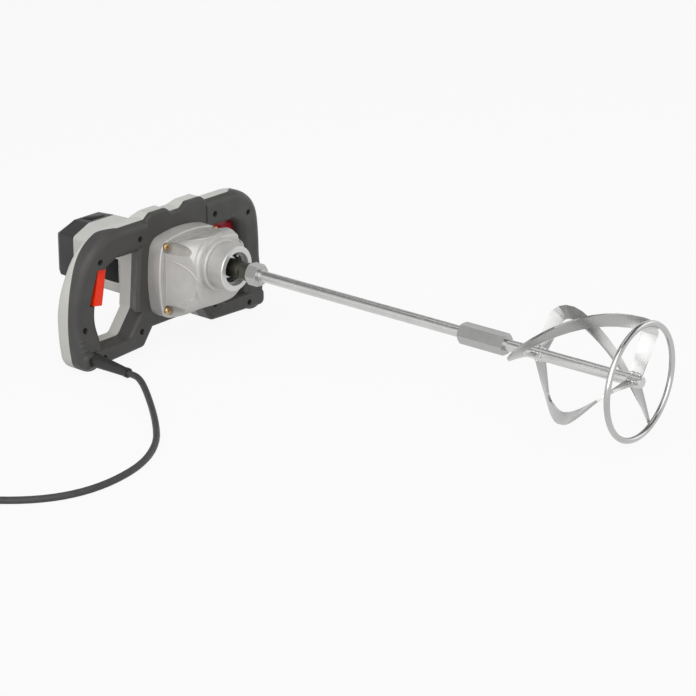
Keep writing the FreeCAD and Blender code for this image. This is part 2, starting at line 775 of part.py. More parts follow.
def frame_halves():
    """Charcoal front half and grey rear half with bosses, screw holes, plate seat and trigger slots."""
    blank = frame_blank()
    front_z = FLANGE_FRONT_Z
    bosses = [rod(FRAME_BOSS_R, GRIP_REAR_Z, 0.0, x, y) for x, y in frame_spots()]
    bosses += [rod(GEAR_BOSS_R, PARTING_TOP_Z - GEAR_SCREW_BITE, CENTRE_FRONT_Z, x, y) for x, y in gear_spots()]
    bosses.append(tube(PLATE_R + WALL, PLATE_R, PLATE_REAR_Z, CENTRE_FRONT_Z, 0.0, GEAR_CENTRE_Y))
    bosses += [
        rod(BARREL_BOSS_R, BARREL_REAR_Z, BARREL_REAR_Z + CAP_SCREW_BITE + WALL, x, y) for x, y in cap_spots()
    ]
    shell = blank.cut(frame_hollow()).fuse([boss.common(blank) for boss in bosses])
    space = front_space()
    front = shell.common(space)
    rear = shell.cut(space)
    slots = [trigger_slot(RIGHT_TRIGGER_MID_Z, RIGHT_TRIGGER_MID_Z + TRIGGER_WIDTH / 2 + MOVE_GAP)]
    slots.append(mirrored(trigger_slot(TRIGGER_MID_Z, front_z)))
    cuts = [rod(PLATE_R, WEB_REAR_Z, front_z, 0.0, GEAR_CENTRE_Y), sleeve_hole()]
    cuts += [rod(FRAME_SCREW_HEAD_R + SEAT_GAP, FRAME_SCREW_SEAT_Z, front_z, x, y) for x, y in frame_spots()]
    shank_z = FRAME_SCREW_TIP_Z - CUT_SPARE
    shanks = [rod(FRAME_SCREW_R + SEAT_GAP, shank_z, FRAME_SCREW_SEAT_Z, x, y) for x, y in frame_spots()]
    holes = [
        rod(GEAR_SCREW_R + SEAT_GAP, CENTRE_FRONT_Z - GEAR_SCREW_BITE, front_z, x, y) for x, y in gear_spots()
    ]
    cap_holes = [
        rod(CAP_SCREW_R + SEAT_GAP, BARREL_REAR_Z, BARREL_REAR_Z + CAP_SCREW_BITE, x, y) for x, y in cap_spots()
    ]
    front = front.cut(cuts + shanks + holes + slots).removeSplitter()
    rear = rear.cut(cuts[1:] + shanks + holes + cap_holes + slots).removeSplitter()
    return front, rear


def screws(spots, radius, tip_z, seat_z, head_r, head_length):
    """Pan-head screws that share one length, one solid each. The head lies on the far side of its seat."""
    side = 1 if seat_z > tip_z else -1
    top = seat_z + side * head_length
    made = []
    for x, y in spots:
        shank = rod(radius, min(tip_z, seat_z), max(tip_z, seat_z), x, y)
        head = rod(head_r, min(top, seat_z), max(top, seat_z), x, y)
        made.append(fused([shank, turned_down(head, top, head_length / 3)]))
    return Part.makeCompound(made)


def cap_shrink():
    """How much smaller than the barrel the cap's rear face is, all round."""
    return CAP_DRAFT + CAP_BEVEL * CAP_BEVEL_SHARE


def rear_cap():
    """Dark end cap with a bevelled rim, air slots, a bearing seat and sunk screw holes."""
    bevel_z = CAP_REAR_Z + CAP_BEVEL
    sections = [
        rounded_wire(barrel_outline(), BARREL_REAR_Z),
        rounded_wire(barrel_outline(-CAP_DRAFT), bevel_z),
        rounded_wire(barrel_outline(-cap_shrink()), CAP_REAR_Z),
    ]
    blank = Part.makeLoft(sections, True, True)
    hollow = Part.makeLoft(
        [
            rounded_wire(barrel_outline(-WALL), BARREL_REAR_Z),
            rounded_wire(barrel_outline(-WALL - CAP_DRAFT), bevel_z),
            rounded_wire(barrel_outline(-WALL - cap_shrink()), CAP_REAR_Z + WALL),
        ],
        True,
        True,
    )
    seat_r = REAR_ARM_BEARING_R + SEAT_GAP
    seat_z = REAR_SEAT_Z
    bosses = [rod(seat_r + WALL, CAP_REAR_Z, seat_z + REAR_ARM_BEARING_WIDTH, 0.0, MOTOR_Y)]
    bosses += [rod(CAP_BOSS_R, CAP_REAR_Z, BARREL_REAR_Z, x, y) for x, y in cap_spots()]
    shell = blank.cut(hollow).fuse([boss.common(blank) for boss in bosses])
    cuts = [rod(seat_r, seat_z, BARREL_REAR_Z, 0.0, MOTOR_Y)]
    cuts += [rod(CAP_SCREW_HEAD_R + SEAT_GAP, CAP_REAR_Z, CAP_SCREW_SEAT_Z, x, y) for x, y in cap_spots()]
    cuts += [rod(CAP_SCREW_R + SEAT_GAP, CAP_SCREW_SEAT_Z, BARREL_REAR_Z, x, y) for x, y in cap_spots()]
    for i in range(CAP_SLOT_COUNT):
        x = (i - (CAP_SLOT_COUNT - 1) / 2) * CAP_SLOT_PITCH
        for y in (MOTOR_Y + CAP_SLOT_Y, MOTOR_Y - CAP_SLOT_Y):
            outline = rectangle(CAP_SLOT_WIDTH / 2, CAP_SLOT_LENGTH / 2, CAP_SLOT_WIDTH / 2 - SLOT_END_FLAT, x, y)
            cuts.append(prism(outline, CAP_REAR_Z - CUT_SPARE, CAP_REAR_Z + WALL + CUT_SPARE))
    return shell.cut(cuts).removeSplitter()


# Gearbox

def cast_wire(half, side_r, corner_r, x, y, z):
    """Square with bowed sides and round corners, every arc tangent to the next."""
    lean = side_r - half
    corner = (-lean + math.sqrt(2 * (side_r - corner_r) ** 2 - lean**2)) / 2
    angle = math.atan2(corner, corner + lean)
    near = side_r * math.sin(angle)
    far = side_r * math.cos(angle) - lean
    mid = corner + corner_r * math.sqrt(0.5)
    edges = []
    for quarter in range(4):
        turn = FreeCAD.Rotation(Vector(0, 0, 1), 90 * quarter)
        points = [(far, -near), (half, 0), (far, near), (mid, mid), (near, far)]
        spots = [turn.multVec(Vector(px, py, 0)) + Vector(x, y, z) for px, py in points]
        edges.append(Part.Arc(spots[0], spots[1], spots[2]).toShape())
        edges.append(Part.Arc(spots[2], spots[3], spots[4]).toShape())
    return Part.Wire(edges)


def dome_levels():
    """Half width, centre and height of the dome's three sections."""
    share = (DOME_MID_Z - FLANGE_FRONT_Z) / (DOME_TOP_Z - FLANGE_FRONT_Z)
    mid_y = GEAR_CENTRE_Y + (DOME_TOP_Y - GEAR_CENTRE_Y) * share
    return [
        (FLANGE_HALF - LEDGE, 0.0, GEAR_CENTRE_Y, FLANGE_FRONT_Z),
        (DOME_MID_HALF, DOME_TOP_X * share, mid_y, DOME_MID_Z),
        (DOME_TOP_HALF, DOME_TOP_X, DOME_TOP_Y, DOME_TOP_Z),
    ]


def dome_reach(side_x, side_y, z):
    """How far the dome reaches to one side at a height, by a parabola through its sections."""
    levels = [(level[3], level[0] + side_x * level[1] + side_y * level[2]) for level in dome_levels()]
    total = 0.0
    for i, (zi, reach) in enumerate(levels):
        weight = 1.0
        for j, (zj, _) in enumerate(levels):
            if j != i:
                weight *= (z - zj) / (zi - zj)
        total += weight * reach
    return total


def scoop(quarter):
    """Slab whose slanting face cuts a shallow scoop into one side of the dome."""
    side_x = round(math.cos(math.pi / 2 * quarter))
    side_y = round(math.sin(math.pi / 2 * quarter))
    start_z = FLANGE_FRONT_Z + SCOOP_LIP
    base = dome_reach(side_x, side_y, start_z) - SCOOP_SINK
    tip = dome_reach(side_x, side_y, SCOOP_TIP_Z)
    far = 2 * FLANGE_HALF
    rise = (tip - base) / (SCOOP_TIP_Z - start_z)
    corners = [(base, 0.0), (far, 0.0), (far, far), (base + rise * far, far)]
    points = [Vector(reach, -far, start_z + z) for reach, z in corners]
    slab = Part.Face(Part.makePolygon(points + points[:1])).extrude(Vector(0, 2 * far, 0))
    slab.rotate(Vector(0, 0, 0), Vector(0, 0, 1), 90 * quarter)
    return slab


def gearbox_blank():
    """Outer form of the casting: flange, dome with four scoops, shoulder ring and nose."""
    flange = Part.Face(
        cast_wire(FLANGE_HALF, FLANGE_SIDE_R, FLANGE_CORNER_R, 0.0, GEAR_CENTRE_Y, CENTRE_FRONT_Z)
    )
    flange = rounded_end(
        flange.extrude(Vector(0, 0, FLANGE_FRONT_Z - CENTRE_FRONT_Z)), FLANGE_FRONT_Z, FLANGE_ROUND
    )
    corner_rs = (FLANGE_CORNER_R, FLANGE_CORNER_R, DOME_TOP_CORNER_R)
    sections = [
        cast_wire(half, FLANGE_SIDE_R, corner_r, x, y, z)
        for (half, x, y, z), corner_r in zip(dome_levels(), corner_rs)
    ]
    dome = Part.makeLoft(sections, True, False)
    brow = []
    for angle in (0, 45, 90):
        drop = DOME_EDGE_ROUND * (1 - math.cos(math.radians(angle)))
        z = DOME_TOP_Z + DOME_EDGE_ROUND * math.sin(math.radians(angle))
        brow.append(
            cast_wire(DOME_TOP_HALF - drop, FLANGE_SIDE_R, DOME_TOP_CORNER_R - drop, DOME_TOP_X, DOME_TOP_Y, z)
        )
    dome = dome.fuse(Part.makeLoft(brow, True, False)).cut([scoop(quarter) for quarter in range(4)])
    ring = rod(SHOULDER_RING_R, DOME_MID_Z, SHOULDER_RING_Z)
    ring = rounded_end(ring, SHOULDER_RING_Z, SHOULDER_RING_ROUND)
    nose = rod(NOSE_R, DOME_MID_Z, NOSE_FRONT_Z)
    nose = turned_down(nose, NOSE_FRONT_Z, NOSE_CHAMFER)
    return fused([flange, dome, ring, nose])


def gearbox_cover():
    """Casting with its gear chamber, bearing seats and four screw holes."""
    blank = gearbox_blank()
    chamber_z = CENTRE_FRONT_Z + PLATE_RIM_THICK
    low = Part.Face(cast_wire(CAVITY_HALF, FLANGE_SIDE_R, CAVITY_CORNER_R, 0.0, GEAR_CENTRE_Y, chamber_z))
    low = low.extrude(Vector(0, 0, CAVITY_STEP_Z - chamber_z))
    mid = cast_wire(CAVITY_MID_HALF, FLANGE_SIDE_R, CAVITY_CORNER_R, CAVITY_MID_X, CAVITY_MID_Y, CAVITY_STEP_Z)
    top = cast_wire(CAVITY_TOP_HALF, FLANGE_SIDE_R, CAVITY_CORNER_R, CAVITY_TOP_X, CAVITY_TOP_Y, CAVITY_TOP_Z)
    lay = lay_spot()
    post = rod(LAY_BUSH_R + LAY_BOSS_WALL, lay_bush_z(), CAVITY_TOP_Z, lay.x, lay.y)
    cuts = [low.fuse(Part.makeLoft([mid, top], True, True)).cut(post)]
    cuts.append(rod(PLATE_R + PLATE_RIM + SEAT_GAP, CENTRE_FRONT_Z, chamber_z, 0.0, GEAR_CENTRE_Y))
    cuts.append(rod(SPINDLE_R + NOSE_BORE_GAP, CAVITY_TOP_Z - CUT_SPARE, FRONT_BEARING_Z))
    cuts.append(rod(FRONT_BEARING_R + SEAT_GAP, FRONT_BEARING_Z, NOSE_FRONT_Z))
    groove_r = FRONT_BEARING_R + CIRCLIP_DEPTH + SEAT_GAP
    cuts.append(rod(groove_r, CIRCLIP_Z - SEAT_GAP, CIRCLIP_Z + CIRCLIP_THICK + SEAT_GAP))
    cuts.append(rod(LAY_BUSH_R + SEAT_GAP, lay_bush_z(), lay_bush_z() + LAY_BUSH_LENGTH, lay.x, lay.y))
    for x, y in gear_spots():
        cuts.append(rod(GEAR_SCREW_R + SEAT_GAP, CENTRE_FRONT_Z, NOSE_FRONT_Z, x, y))
        cuts.append(rod(SPOT_FACE_R, FLANGE_FRONT_Z, NOSE_FRONT_Z, x, y))
    return blank.cut(cuts).removeSplitter()


# Gear train

MOTOR_CENTRE = Vector(0, MOTOR_Y, 0)
LAY_FROM_MOTOR = MOTOR_MODULE * (MOTOR_PINION_TEETH + LAY_GEAR_TEETH) / 2
LAY_FROM_SPINDLE = OUT_MODULE * (LAY_PINION_TEETH + OUT_GEAR_TEETH) / 2


def lay_spot():
    """Layshaft axis, right of and below the spindle, at both meshing distances."""
    drop = -MOTOR_Y
    y = -(LAY_FROM_SPINDLE**2 - LAY_FROM_MOTOR**2 + drop**2) / (2 * drop)
    x = math.sqrt(LAY_FROM_SPINDLE**2 - y**2)
    return Vector(x, y, 0)


def lay_bush_z():
    """Rear end of the layshaft's front bush, in front of its pinion."""
    return OUT_GEAR_Z + OUT_GEAR_WIDTH + LAY_BUSH_GAP


def heading(start, end):
    """Direction from one axis to another, in degrees."""
    return math.degrees(math.atan2(end.y - start.y, end.x - start.x))


def gear(module, teeth, z0, width, centre, phase):
    """Spur gear with a tooth centred on the phase angle. Flanks follow the involute."""
    pitch_r = module * teeth / 2
    pressure = math.radians(PRESSURE_ANGLE)
    base_r = pitch_r * math.cos(pressure)
    root_r = pitch_r - DEDENDUM * module
    tip_r = pitch_r + ADDENDUM * module
    half_at_pitch = math.pi / 2 / teeth * (1 - BACKLASH)

    def half_angle(radius):
        slope = math.acos(min(1.0, base_r / radius))
        return half_at_pitch + (math.tan(pressure) - pressure) - (math.tan(slope) - slope)

    levels = [root_r, max(root_r, base_r), pitch_r, tip_r]
    flank = [(radius, half_angle(radius)) for radius in levels]
    if levels[1] - levels[0] < LEAST_FLANK * module:
        flank = flank[1:]
    points = []
    for tooth in range(teeth):
        middle = math.radians(phase) + 2 * math.pi * tooth / teeth
        for radius, half in flank:
            points.append((radius, middle - half))
        for radius, half in reversed(flank):
            points.append((radius, middle + half))
    spots = [Vector(r * math.cos(a), r * math.sin(a), z0) + centre for r, a in points]
    return Part.Face(Part.makePolygon(spots + spots[:1])).extrude(Vector(0, 0, width))


def output_gear():
    """Large gear on the spindle."""
    lay = lay_spot()
    phase = heading(Vector(), lay) + 180 / OUT_GEAR_TEETH
    wheel = gear(OUT_MODULE, OUT_GEAR_TEETH, OUT_GEAR_Z, OUT_GEAR_WIDTH, Vector(), phase)
    return wheel.cut(rod(SPINDLE_GEAR_R + SEAT_GAP, OUT_GEAR_Z, OUT_GEAR_Z + OUT_GEAR_WIDTH))


def layshaft():
    """Intermediate shaft with its pinion cut on it."""
    lay = lay_spot()
    rear = CENTRE_FRONT_Z - LAY_BUSH_LENGTH + MOVE_GAP
    front = lay_bush_z() + LAY_BUSH_LENGTH - MOVE_GAP
    pinion_end = OUT_GEAR_Z + OUT_GEAR_WIDTH + LAY_PINION_SPARE
    pinion = gear(OUT_MODULE, LAY_PINION_TEETH, LAY_PINION_Z, pinion_end - LAY_PINION_Z, lay, heading(lay, Vector()))
    return fused([rod(LAY_SHAFT_R, rear, front, lay.x, lay.y), pinion])


def layshaft_gear():
    """Large gear driven by the armature pinion."""
    lay = lay_spot()
    phase = heading(lay, MOTOR_CENTRE) + 180 / LAY_GEAR_TEETH
    wheel = gear(MOTOR_MODULE, LAY_GEAR_TEETH, LAY_GEAR_Z, LAY_GEAR_WIDTH, lay, phase)
    hub = rod(LAY_HUB_R, LAY_GEAR_Z + LAY_GEAR_WIDTH, LAY_PINION_Z - SEAT_GAP, lay.x, lay.y)
    bore = rod(LAY_SHAFT_R + SEAT_GAP, LAY_GEAR_Z, LAY_PINION_Z, lay.x, lay.y)
    return wheel.fuse(hub).cut(bore).removeSplitter()


def bearing_plate():
    """Aluminium disc that carries the rear ends of spindle and layshaft and the front of the armature."""
    lay = lay_spot()
    disc = rod(PLATE_R - SEAT_GAP, PLATE_REAR_Z, CENTRE_FRONT_Z, 0.0, GEAR_CENTRE_Y)
    rim = rod(PLATE_R + PLATE_RIM, CENTRE_FRONT_Z, CENTRE_FRONT_Z + PLATE_RIM_THICK - SEAT_GAP, 0.0, GEAR_CENTRE_Y)
    inside = rod(PLATE_R - PLATE_RIM_LIP, CENTRE_FRONT_Z, CENTRE_FRONT_Z + PLATE_RIM_THICK, 0.0, GEAR_CENTRE_Y)
    plate = disc.fuse(rim.cut(inside)).removeSplitter()
    front = CENTRE_FRONT_Z
    cuts = [
        rod(ARM_BEARING_R + SEAT_GAP, front - PLATE_LIP - ARM_BEARING_WIDTH, front - PLATE_LIP, 0.0, MOTOR_Y),
        rod(ARM_BEARING_R - PLATE_LIP, PLATE_REAR_Z, front, 0.0, MOTOR_Y),
        rod(ARM_BEARING_R + SEAT_GAP, front - PLATE_LIP, front, 0.0, MOTOR_Y),
        rod(REAR_BUSH_R + SEAT_GAP, front - REAR_BUSH_LENGTH, front),
        rod(LAY_BUSH_R + SEAT_GAP, front - LAY_BUSH_LENGTH, front, lay.x, lay.y),
    ]
    return plate.cut(cuts)


def bushes():
    """Plain bearing sleeves of spindle tail and layshaft, by name."""
    lay = lay_spot()
    front = CENTRE_FRONT_Z
    lay_front = lay_bush_z()
    rear_lay = tube(LAY_BUSH_R, LAY_SHAFT_R + RUN_GAP, front - LAY_BUSH_LENGTH, front, lay.x, lay.y)
    front_lay = tube(LAY_BUSH_R, LAY_SHAFT_R + RUN_GAP, lay_front, lay_front + LAY_BUSH_LENGTH, lay.x, lay.y)
    return {
        "spindle_rear_bush": tube(REAR_BUSH_R, SPINDLE_TAIL_R + RUN_GAP, front - REAR_BUSH_LENGTH, front),
        "layshaft_bushes": Part.makeCompound([rear_lay, front_lay]),
    }


def ball_bearing(outer, bore, z0, width, x=0.0, y=0.0):
    """Shielded bearing: two rings with a shield sunk between them on both faces."""
    ring = tube(outer, bore, z0, z0 + width, x, y)
    band = (outer - bore) * BEARING_RING_SHARE
    sink = min(SHIELD_SINK, width / 8)
    groove_outer = outer - band
    groove_inner = bore + band
    near = tube(groove_outer, groove_inner, z0, z0 + sink, x, y)
    far = tube(groove_outer, groove_inner, z0 + width - sink, z0 + width, x, y)
    return ring.cut([near, far])


def nose_circlip():
    """Internal circlip with two drilled ears, in the groove in front of the bearing."""
    outer = FRONT_BEARING_R + CIRCLIP_DEPTH
    inner = FRONT_BEARING_R - CIRCLIP_WIDTH + CIRCLIP_DEPTH
    ring = tube(outer, inner, CIRCLIP_Z, CIRCLIP_Z + CIRCLIP_THICK)
    ears = []
    holes = []
    for side in (1, -1):
        angle = math.radians(CIRCLIP_TURN + side * (CIRCLIP_HALF_GAP + CIRCLIP_EAR_TURN))
        centre = Vector(math.cos(angle), math.sin(angle), 0) * (inner - CIRCLIP_EAR_IN)
        ears.append(rod(CIRCLIP_EAR_R, CIRCLIP_Z, CIRCLIP_Z + CIRCLIP_THICK, centre.x, centre.y))
        holes.append(rod(CIRCLIP_HOLE_R, CIRCLIP_Z, CIRCLIP_Z + CIRCLIP_THICK, centre.x, centre.y))
    wedge = [Vector(0, 0, CIRCLIP_Z)]
    for side in (1, -1):
        angle = math.radians(CIRCLIP_TURN + side * CIRCLIP_HALF_GAP)
        wedge.append(Vector(math.cos(angle), math.sin(angle), 0) * (2 * outer) + Vector(0, 0, CIRCLIP_Z))
    opening = Part.Face(Part.makePolygon(wedge + wedge[:1])).extrude(Vector(0, 0, CIRCLIP_THICK))
    return ring.fuse(ears).cut(holes + [opening]).removeSplitter()


def spindle():
    """Black steel spindle: tail journal, gear seat, bearing journal and threaded front end with two flats."""
    step_z = OUT_GEAR_Z + OUT_GEAR_WIDTH
    tail_end = CENTRE_FRONT_Z + SPINDLE_TAIL_STEP
    shaft = fused([
        rod(SPINDLE_TAIL_R, CENTRE_FRONT_Z - REAR_BUSH_LENGTH + END_PLAY, tail_end),
        rod(SPINDLE_GEAR_R, tail_end, step_z),
        rod(SPINDLE_R, step_z, SPINDLE_FRONT_Z),
    ])
    flat_z = SPINDLE_FRONT_Z - SPINDLE_FLAT_LENGTH
    cuts = [rod(THREAD_R + SEAT_GAP, SPINDLE_FRONT_Z - THREAD_DEPTH, SPINDLE_FRONT_Z)]
    for side in (1, -1):
        middle = side * (SPINDLE_FLAT_AF / 2 + SPINDLE_R)
        cuts.append(prism(rectangle(SPINDLE_R, SPINDLE_R, 0.0, middle, 0.0), flat_z, SPINDLE_FRONT_Z))
    return shaft.cut(cuts)


# Paddle

def lock_nut():
    """Hexagon nut that locks the paddle's thread against the spindle."""
    end = SPINDLE_FRONT_Z + LOCK_NUT_LENGTH
    nut = hexagon(LOCK_NUT_AF, SPINDLE_FRONT_Z + SEAT_GAP, end, HEX_CHAMFER)
    return nut.cut(rod(THREAD_R + SEAT_GAP, SPINDLE_FRONT_Z, end))


def upper_rod():
    """Paddle rod with a thicker threaded end in the spindle."""
    start = SPINDLE_FRONT_Z - THREAD_DEPTH + CUT_SPARE
    thread = rod(THREAD_R, start, SPINDLE_FRONT_Z + LOCK_NUT_LENGTH + THREAD_SHOW)
    middle = COUPLING_Z + COUPLING_LENGTH / 2
    return fused([thread, rod(ROD_R, start, middle - COUPLING_GAP / 2)])


def hex_coupling():
    """Long hexagon nut that joins the two rods."""
    end = COUPLING_Z + COUPLING_LENGTH
    return hexagon(COUPLING_AF, COUPLING_Z, end, HEX_CHAMFER).cut(rod(ROD_R + SEAT_GAP, COUPLING_Z, end))


def lower_rod():
    """Rod that carries the blades."""
    middle = COUPLING_Z + COUPLING_LENGTH / 2
    shaft = rod(ROD_R, middle + COUPLING_GAP / 2, ROD_FRONT_Z)
    return turned_down(shaft, ROD_FRONT_Z, NOSE_CHAMFER)


def blade_corner(outer, height, bend, turn):
    """Steps round one corner of a blade's middle line. It turns up at the start and inwards at the ring."""
    steps = BLADE_STEPS // 2
    track = []
    for i in range(steps + 1):
        a = math.pi / 2 * i / steps
        if turn == "up":
            track.append((outer - bend + bend * math.sin(a), height + bend - bend * math.cos(a), math.cos(a), math.sin(a)))
        else:
            track.append((outer - bend + bend * math.cos(a), height - bend + bend * math.sin(a), -math.sin(a), math.cos(a)))
    return track


def blade_end():
    """Height of a blade's last arm, so far forward that its outer corner meets the ring."""
    bend = BLADE_END_CORNER_R
    contact = bend + BLADE_WIDTH / 2 + RING_BAR_R + BLADE_SEAT_GAP
    across = BLADE_WIDTH / 2 - RING_BAR_R + bend
    return RING_Z + bend - math.sqrt(contact**2 - across**2)


def blade_track():
    """Middle line of one blade as (radius, height, radius step, height step), out, along and back in."""
    outer = RING_R + RING_BAR_R - BLADE_WIDTH / 2
    low = BLADE_START_Z + BLADE_WIDTH / 2
    high = blade_end()
    inner = ROD_R - BLADE_THICK
    rise_from = low + BLADE_CORNER_R
    rise_to = high - BLADE_END_CORNER_R
    track = [(inner, low, 1.0, 0.0), ((inner + outer - BLADE_CORNER_R) / 2, low, 1.0, 0.0)]
    track += blade_corner(outer, low, BLADE_CORNER_R, "up")
    track += [(outer, rise_from + (rise_to - rise_from) * i / BLADE_STEPS, 0.0, 1.0) for i in range(1, BLADE_STEPS)]
    track += blade_corner(outer, high, BLADE_END_CORNER_R, "in")
    track += [((inner + outer - BLADE_END_CORNER_R) / 2, high, -1.0, 0.0), (inner, high, -1.0, 0.0)]
    return track


def blade(number):
    """One flat strip laid on a screw surface round the rod."""
    start_z = BLADE_START_Z
    span = blade_end() + BLADE_WIDTH / 2 - BLADE_START_Z
    phase = BLADE_PHASE + 360.0 * number / BLADE_COUNT
    rate = math.radians(BLADE_TURN) / span
    sections = []
    for radius, height, step_r, step_z in blade_track():
        corners = []
        for across, up in ((-1, -1), (1, -1), (1, 1), (-1, 1)):
            r = radius + step_z * across * BLADE_WIDTH / 2
            z = height - step_r * across * BLADE_WIDTH / 2
            angle = math.radians(phase) + rate * (z - start_z)
            along = Vector(-math.sin(angle), math.cos(angle), 0) * (rate * r) + Vector(0, 0, 1)
            out = Vector(math.cos(angle), math.sin(angle), 0)
            normal = out.cross(along).normalize()
            corners.append(out * r + Vector(0, 0, z) + normal * (up * BLADE_THICK / 2))
        sections.append(Part.makePolygon(corners + corners[:1]))
    strip = Part.makeLoft(sections, True, True)
    return strip.cut(rod(ROD_R + SEAT_GAP, BLADE_START_Z - BLADE_ROOT_CUT, ROD_FRONT_Z))


def mixing_ring():
    """Round-bar ring at the front of the blades."""
    return Part.makeTorus(RING_R, RING_BAR_R, Vector(0, 0, RING_Z))


# Motor

def sector(inner, outer, z0, z1, middle, arc):
    """Part of a ring round the motor axis, arc degrees wide about its middle angle."""
    corners = [(inner, z0), (outer, z0), (outer, z1), (inner, z1)]
    points = [Vector(r, 0, z) for r, z in corners]
    solid = Part.Face(Part.makePolygon(points + points[:1])).revolve(Vector(0, 0, 0), Vector(0, 0, 1), arc)
    solid.rotate(Vector(0, 0, 0), Vector(0, 0, 1), middle - arc / 2)
    solid.translate(MOTOR_CENTRE)
    return solid


def field_coil(middle, grow):
    """One field coil: a bent frame that its pole passes through."""
    window = FIELD_COIL_ARC - 2 * FIELD_COIL_SIDE
    rear = FIELD_REAR_Z - FIELD_COIL_REACH
    front = FIELD_FRONT_Z + FIELD_COIL_REACH
    inner = FIELD_BORE_R + FIELD_COIL_SINK - grow
    frame = sector(inner, FIELD_COIL_OUTER_R + grow, rear, front, middle, FIELD_COIL_ARC + 2 * grow)
    hole = sector(inner - CUT_SPARE, FIELD_COIL_OUTER_R + CUT_SPARE, FIELD_REAR_Z, FIELD_FRONT_Z, middle, window - 2 * grow)
    return frame.cut(hole)


def field_core():
    """Laminated stator that fills the barrel, with two poles."""
    stack = prism(barrel_outline(-WALL - SEAT_GAP), FIELD_REAR_Z, FIELD_FRONT_Z)
    cuts = [rod(FIELD_BORE_R, FIELD_REAR_Z, FIELD_FRONT_Z, 0.0, MOTOR_Y)]
    cuts += [field_coil(middle, FIELD_COIL_ROOM) for middle in (90.0, 270.0)]
    return stack.cut(cuts)


def armature_shaft():
    """Motor shaft with its pinion cut on the front end."""
    front_seat = CENTRE_FRONT_Z - PLATE_LIP - ARM_BEARING_WIDTH
    rear_seat = REAR_SEAT_Z
    pinion_z = LAY_GEAR_Z - END_PLAY
    phase = heading(MOTOR_CENTRE, lay_spot())
    return fused([
        rod(ARMATURE_REAR_R, rear_seat + END_PLAY, rear_seat + REAR_ARM_BEARING_WIDTH + SHAFT_STEP, 0.0, MOTOR_Y),
        rod(ARMATURE_SHAFT_R, rear_seat + REAR_ARM_BEARING_WIDTH + SHAFT_STEP, front_seat - SHAFT_STEP, 0.0, MOTOR_Y),
        rod(ARMATURE_FRONT_R, front_seat - SHAFT_STEP, pinion_z, 0.0, MOTOR_Y),
        gear(MOTOR_MODULE, MOTOR_PINION_TEETH, pinion_z, LAY_GEAR_WIDTH + 2 * END_PLAY, MOTOR_CENTRE, phase),
    ])


def spaced(shape, count):
    """Copies of a shape evenly round the motor axis."""
    copies = []
    for i in range(count):
        copy = shape.copy()
        copy.rotate(MOTOR_CENTRE, Vector(0, 0, 1), 360.0 * i / count)
        copies.append(copy)
    return copies


def armature_core():
    """Slotted rotor stack."""
    stack = tube(ARMATURE_R, ARMATURE_SHAFT_R + SEAT_GAP, FIELD_REAR_Z, FIELD_FRONT_Z, 0.0, MOTOR_Y)
    half = ARMATURE_SLOT_DEPTH / 2
    slot = prism(
        rectangle(half, ARMATURE_SLOT_WIDTH / 2, 0.0, ARMATURE_R - half + ARMATURE_SLOT_OPEN, MOTOR_Y), FIELD_REAR_Z, FIELD_FRONT_Z
    )
    return stack.cut(spaced(slot, ARMATURE_SLOTS))


def armature_windings():
    """Copper ends of the rotor windings, one ring at each end of the stack."""
    ends = []
    for face, side in ((FIELD_FRONT_Z, 1), (FIELD_REAR_Z, -1)):
        z0 = min(face + side * SEAT_GAP, face + side * WINDING_REACH)
        ring = tube(WINDING_R, ARMATURE_SHAFT_R + SHAFT_STEP, z0, z0 + WINDING_REACH - SEAT_GAP, 0.0, MOTOR_Y)
        ends.append(turned_down(ring, face + side * WINDING_REACH, WINDING_REACH / 3))
    return Part.makeCompound(ends)


def commutator():
    """Copper commutator with cut bars."""
    rear = COMMUTATOR_REAR_Z
    front = rear + COMMUTATOR_LENGTH
    body = tube(COMMUTATOR_R, ARMATURE_SHAFT_R + SEAT_GAP, rear, front, 0.0, MOTOR_Y)
    cut = prism(rectangle(COMMUTATOR_CUT_DEPTH, COMMUTATOR_CUT_HALF, 0.0, COMMUTATOR_R, MOTOR_Y), rear, front)
    return body.cut(spaced(cut, COMMUTATOR_BARS))


def fan():
    """Cooling fan: hub, disc and straight blades."""
    hub = rod(FAN_HUB_R, FAN_REAR_Z, FAN_FRONT_Z, 0.0, MOTOR_Y)
    disc = rod(FAN_R, FAN_REAR_Z, FAN_REAR_Z + FAN_DISC, 0.0, MOTOR_Y)
    middle = (FAN_R + FAN_HUB_R) / 2
    vane = prism(
        rectangle((FAN_R - FAN_HUB_R) / 2 + FAN_ROOT, FAN_BLADE_THICK / 2, 0.0, middle - FAN_ROOT, MOTOR_Y), FAN_REAR_Z, FAN_FRONT_Z
    )
    wheel = fused([hub, disc] + spaced(vane, FAN_BLADES))
    return wheel.cut(rod(ARMATURE_SHAFT_R + SEAT_GAP, FAN_REAR_Z, FAN_FRONT_Z, 0.0, MOTOR_Y))


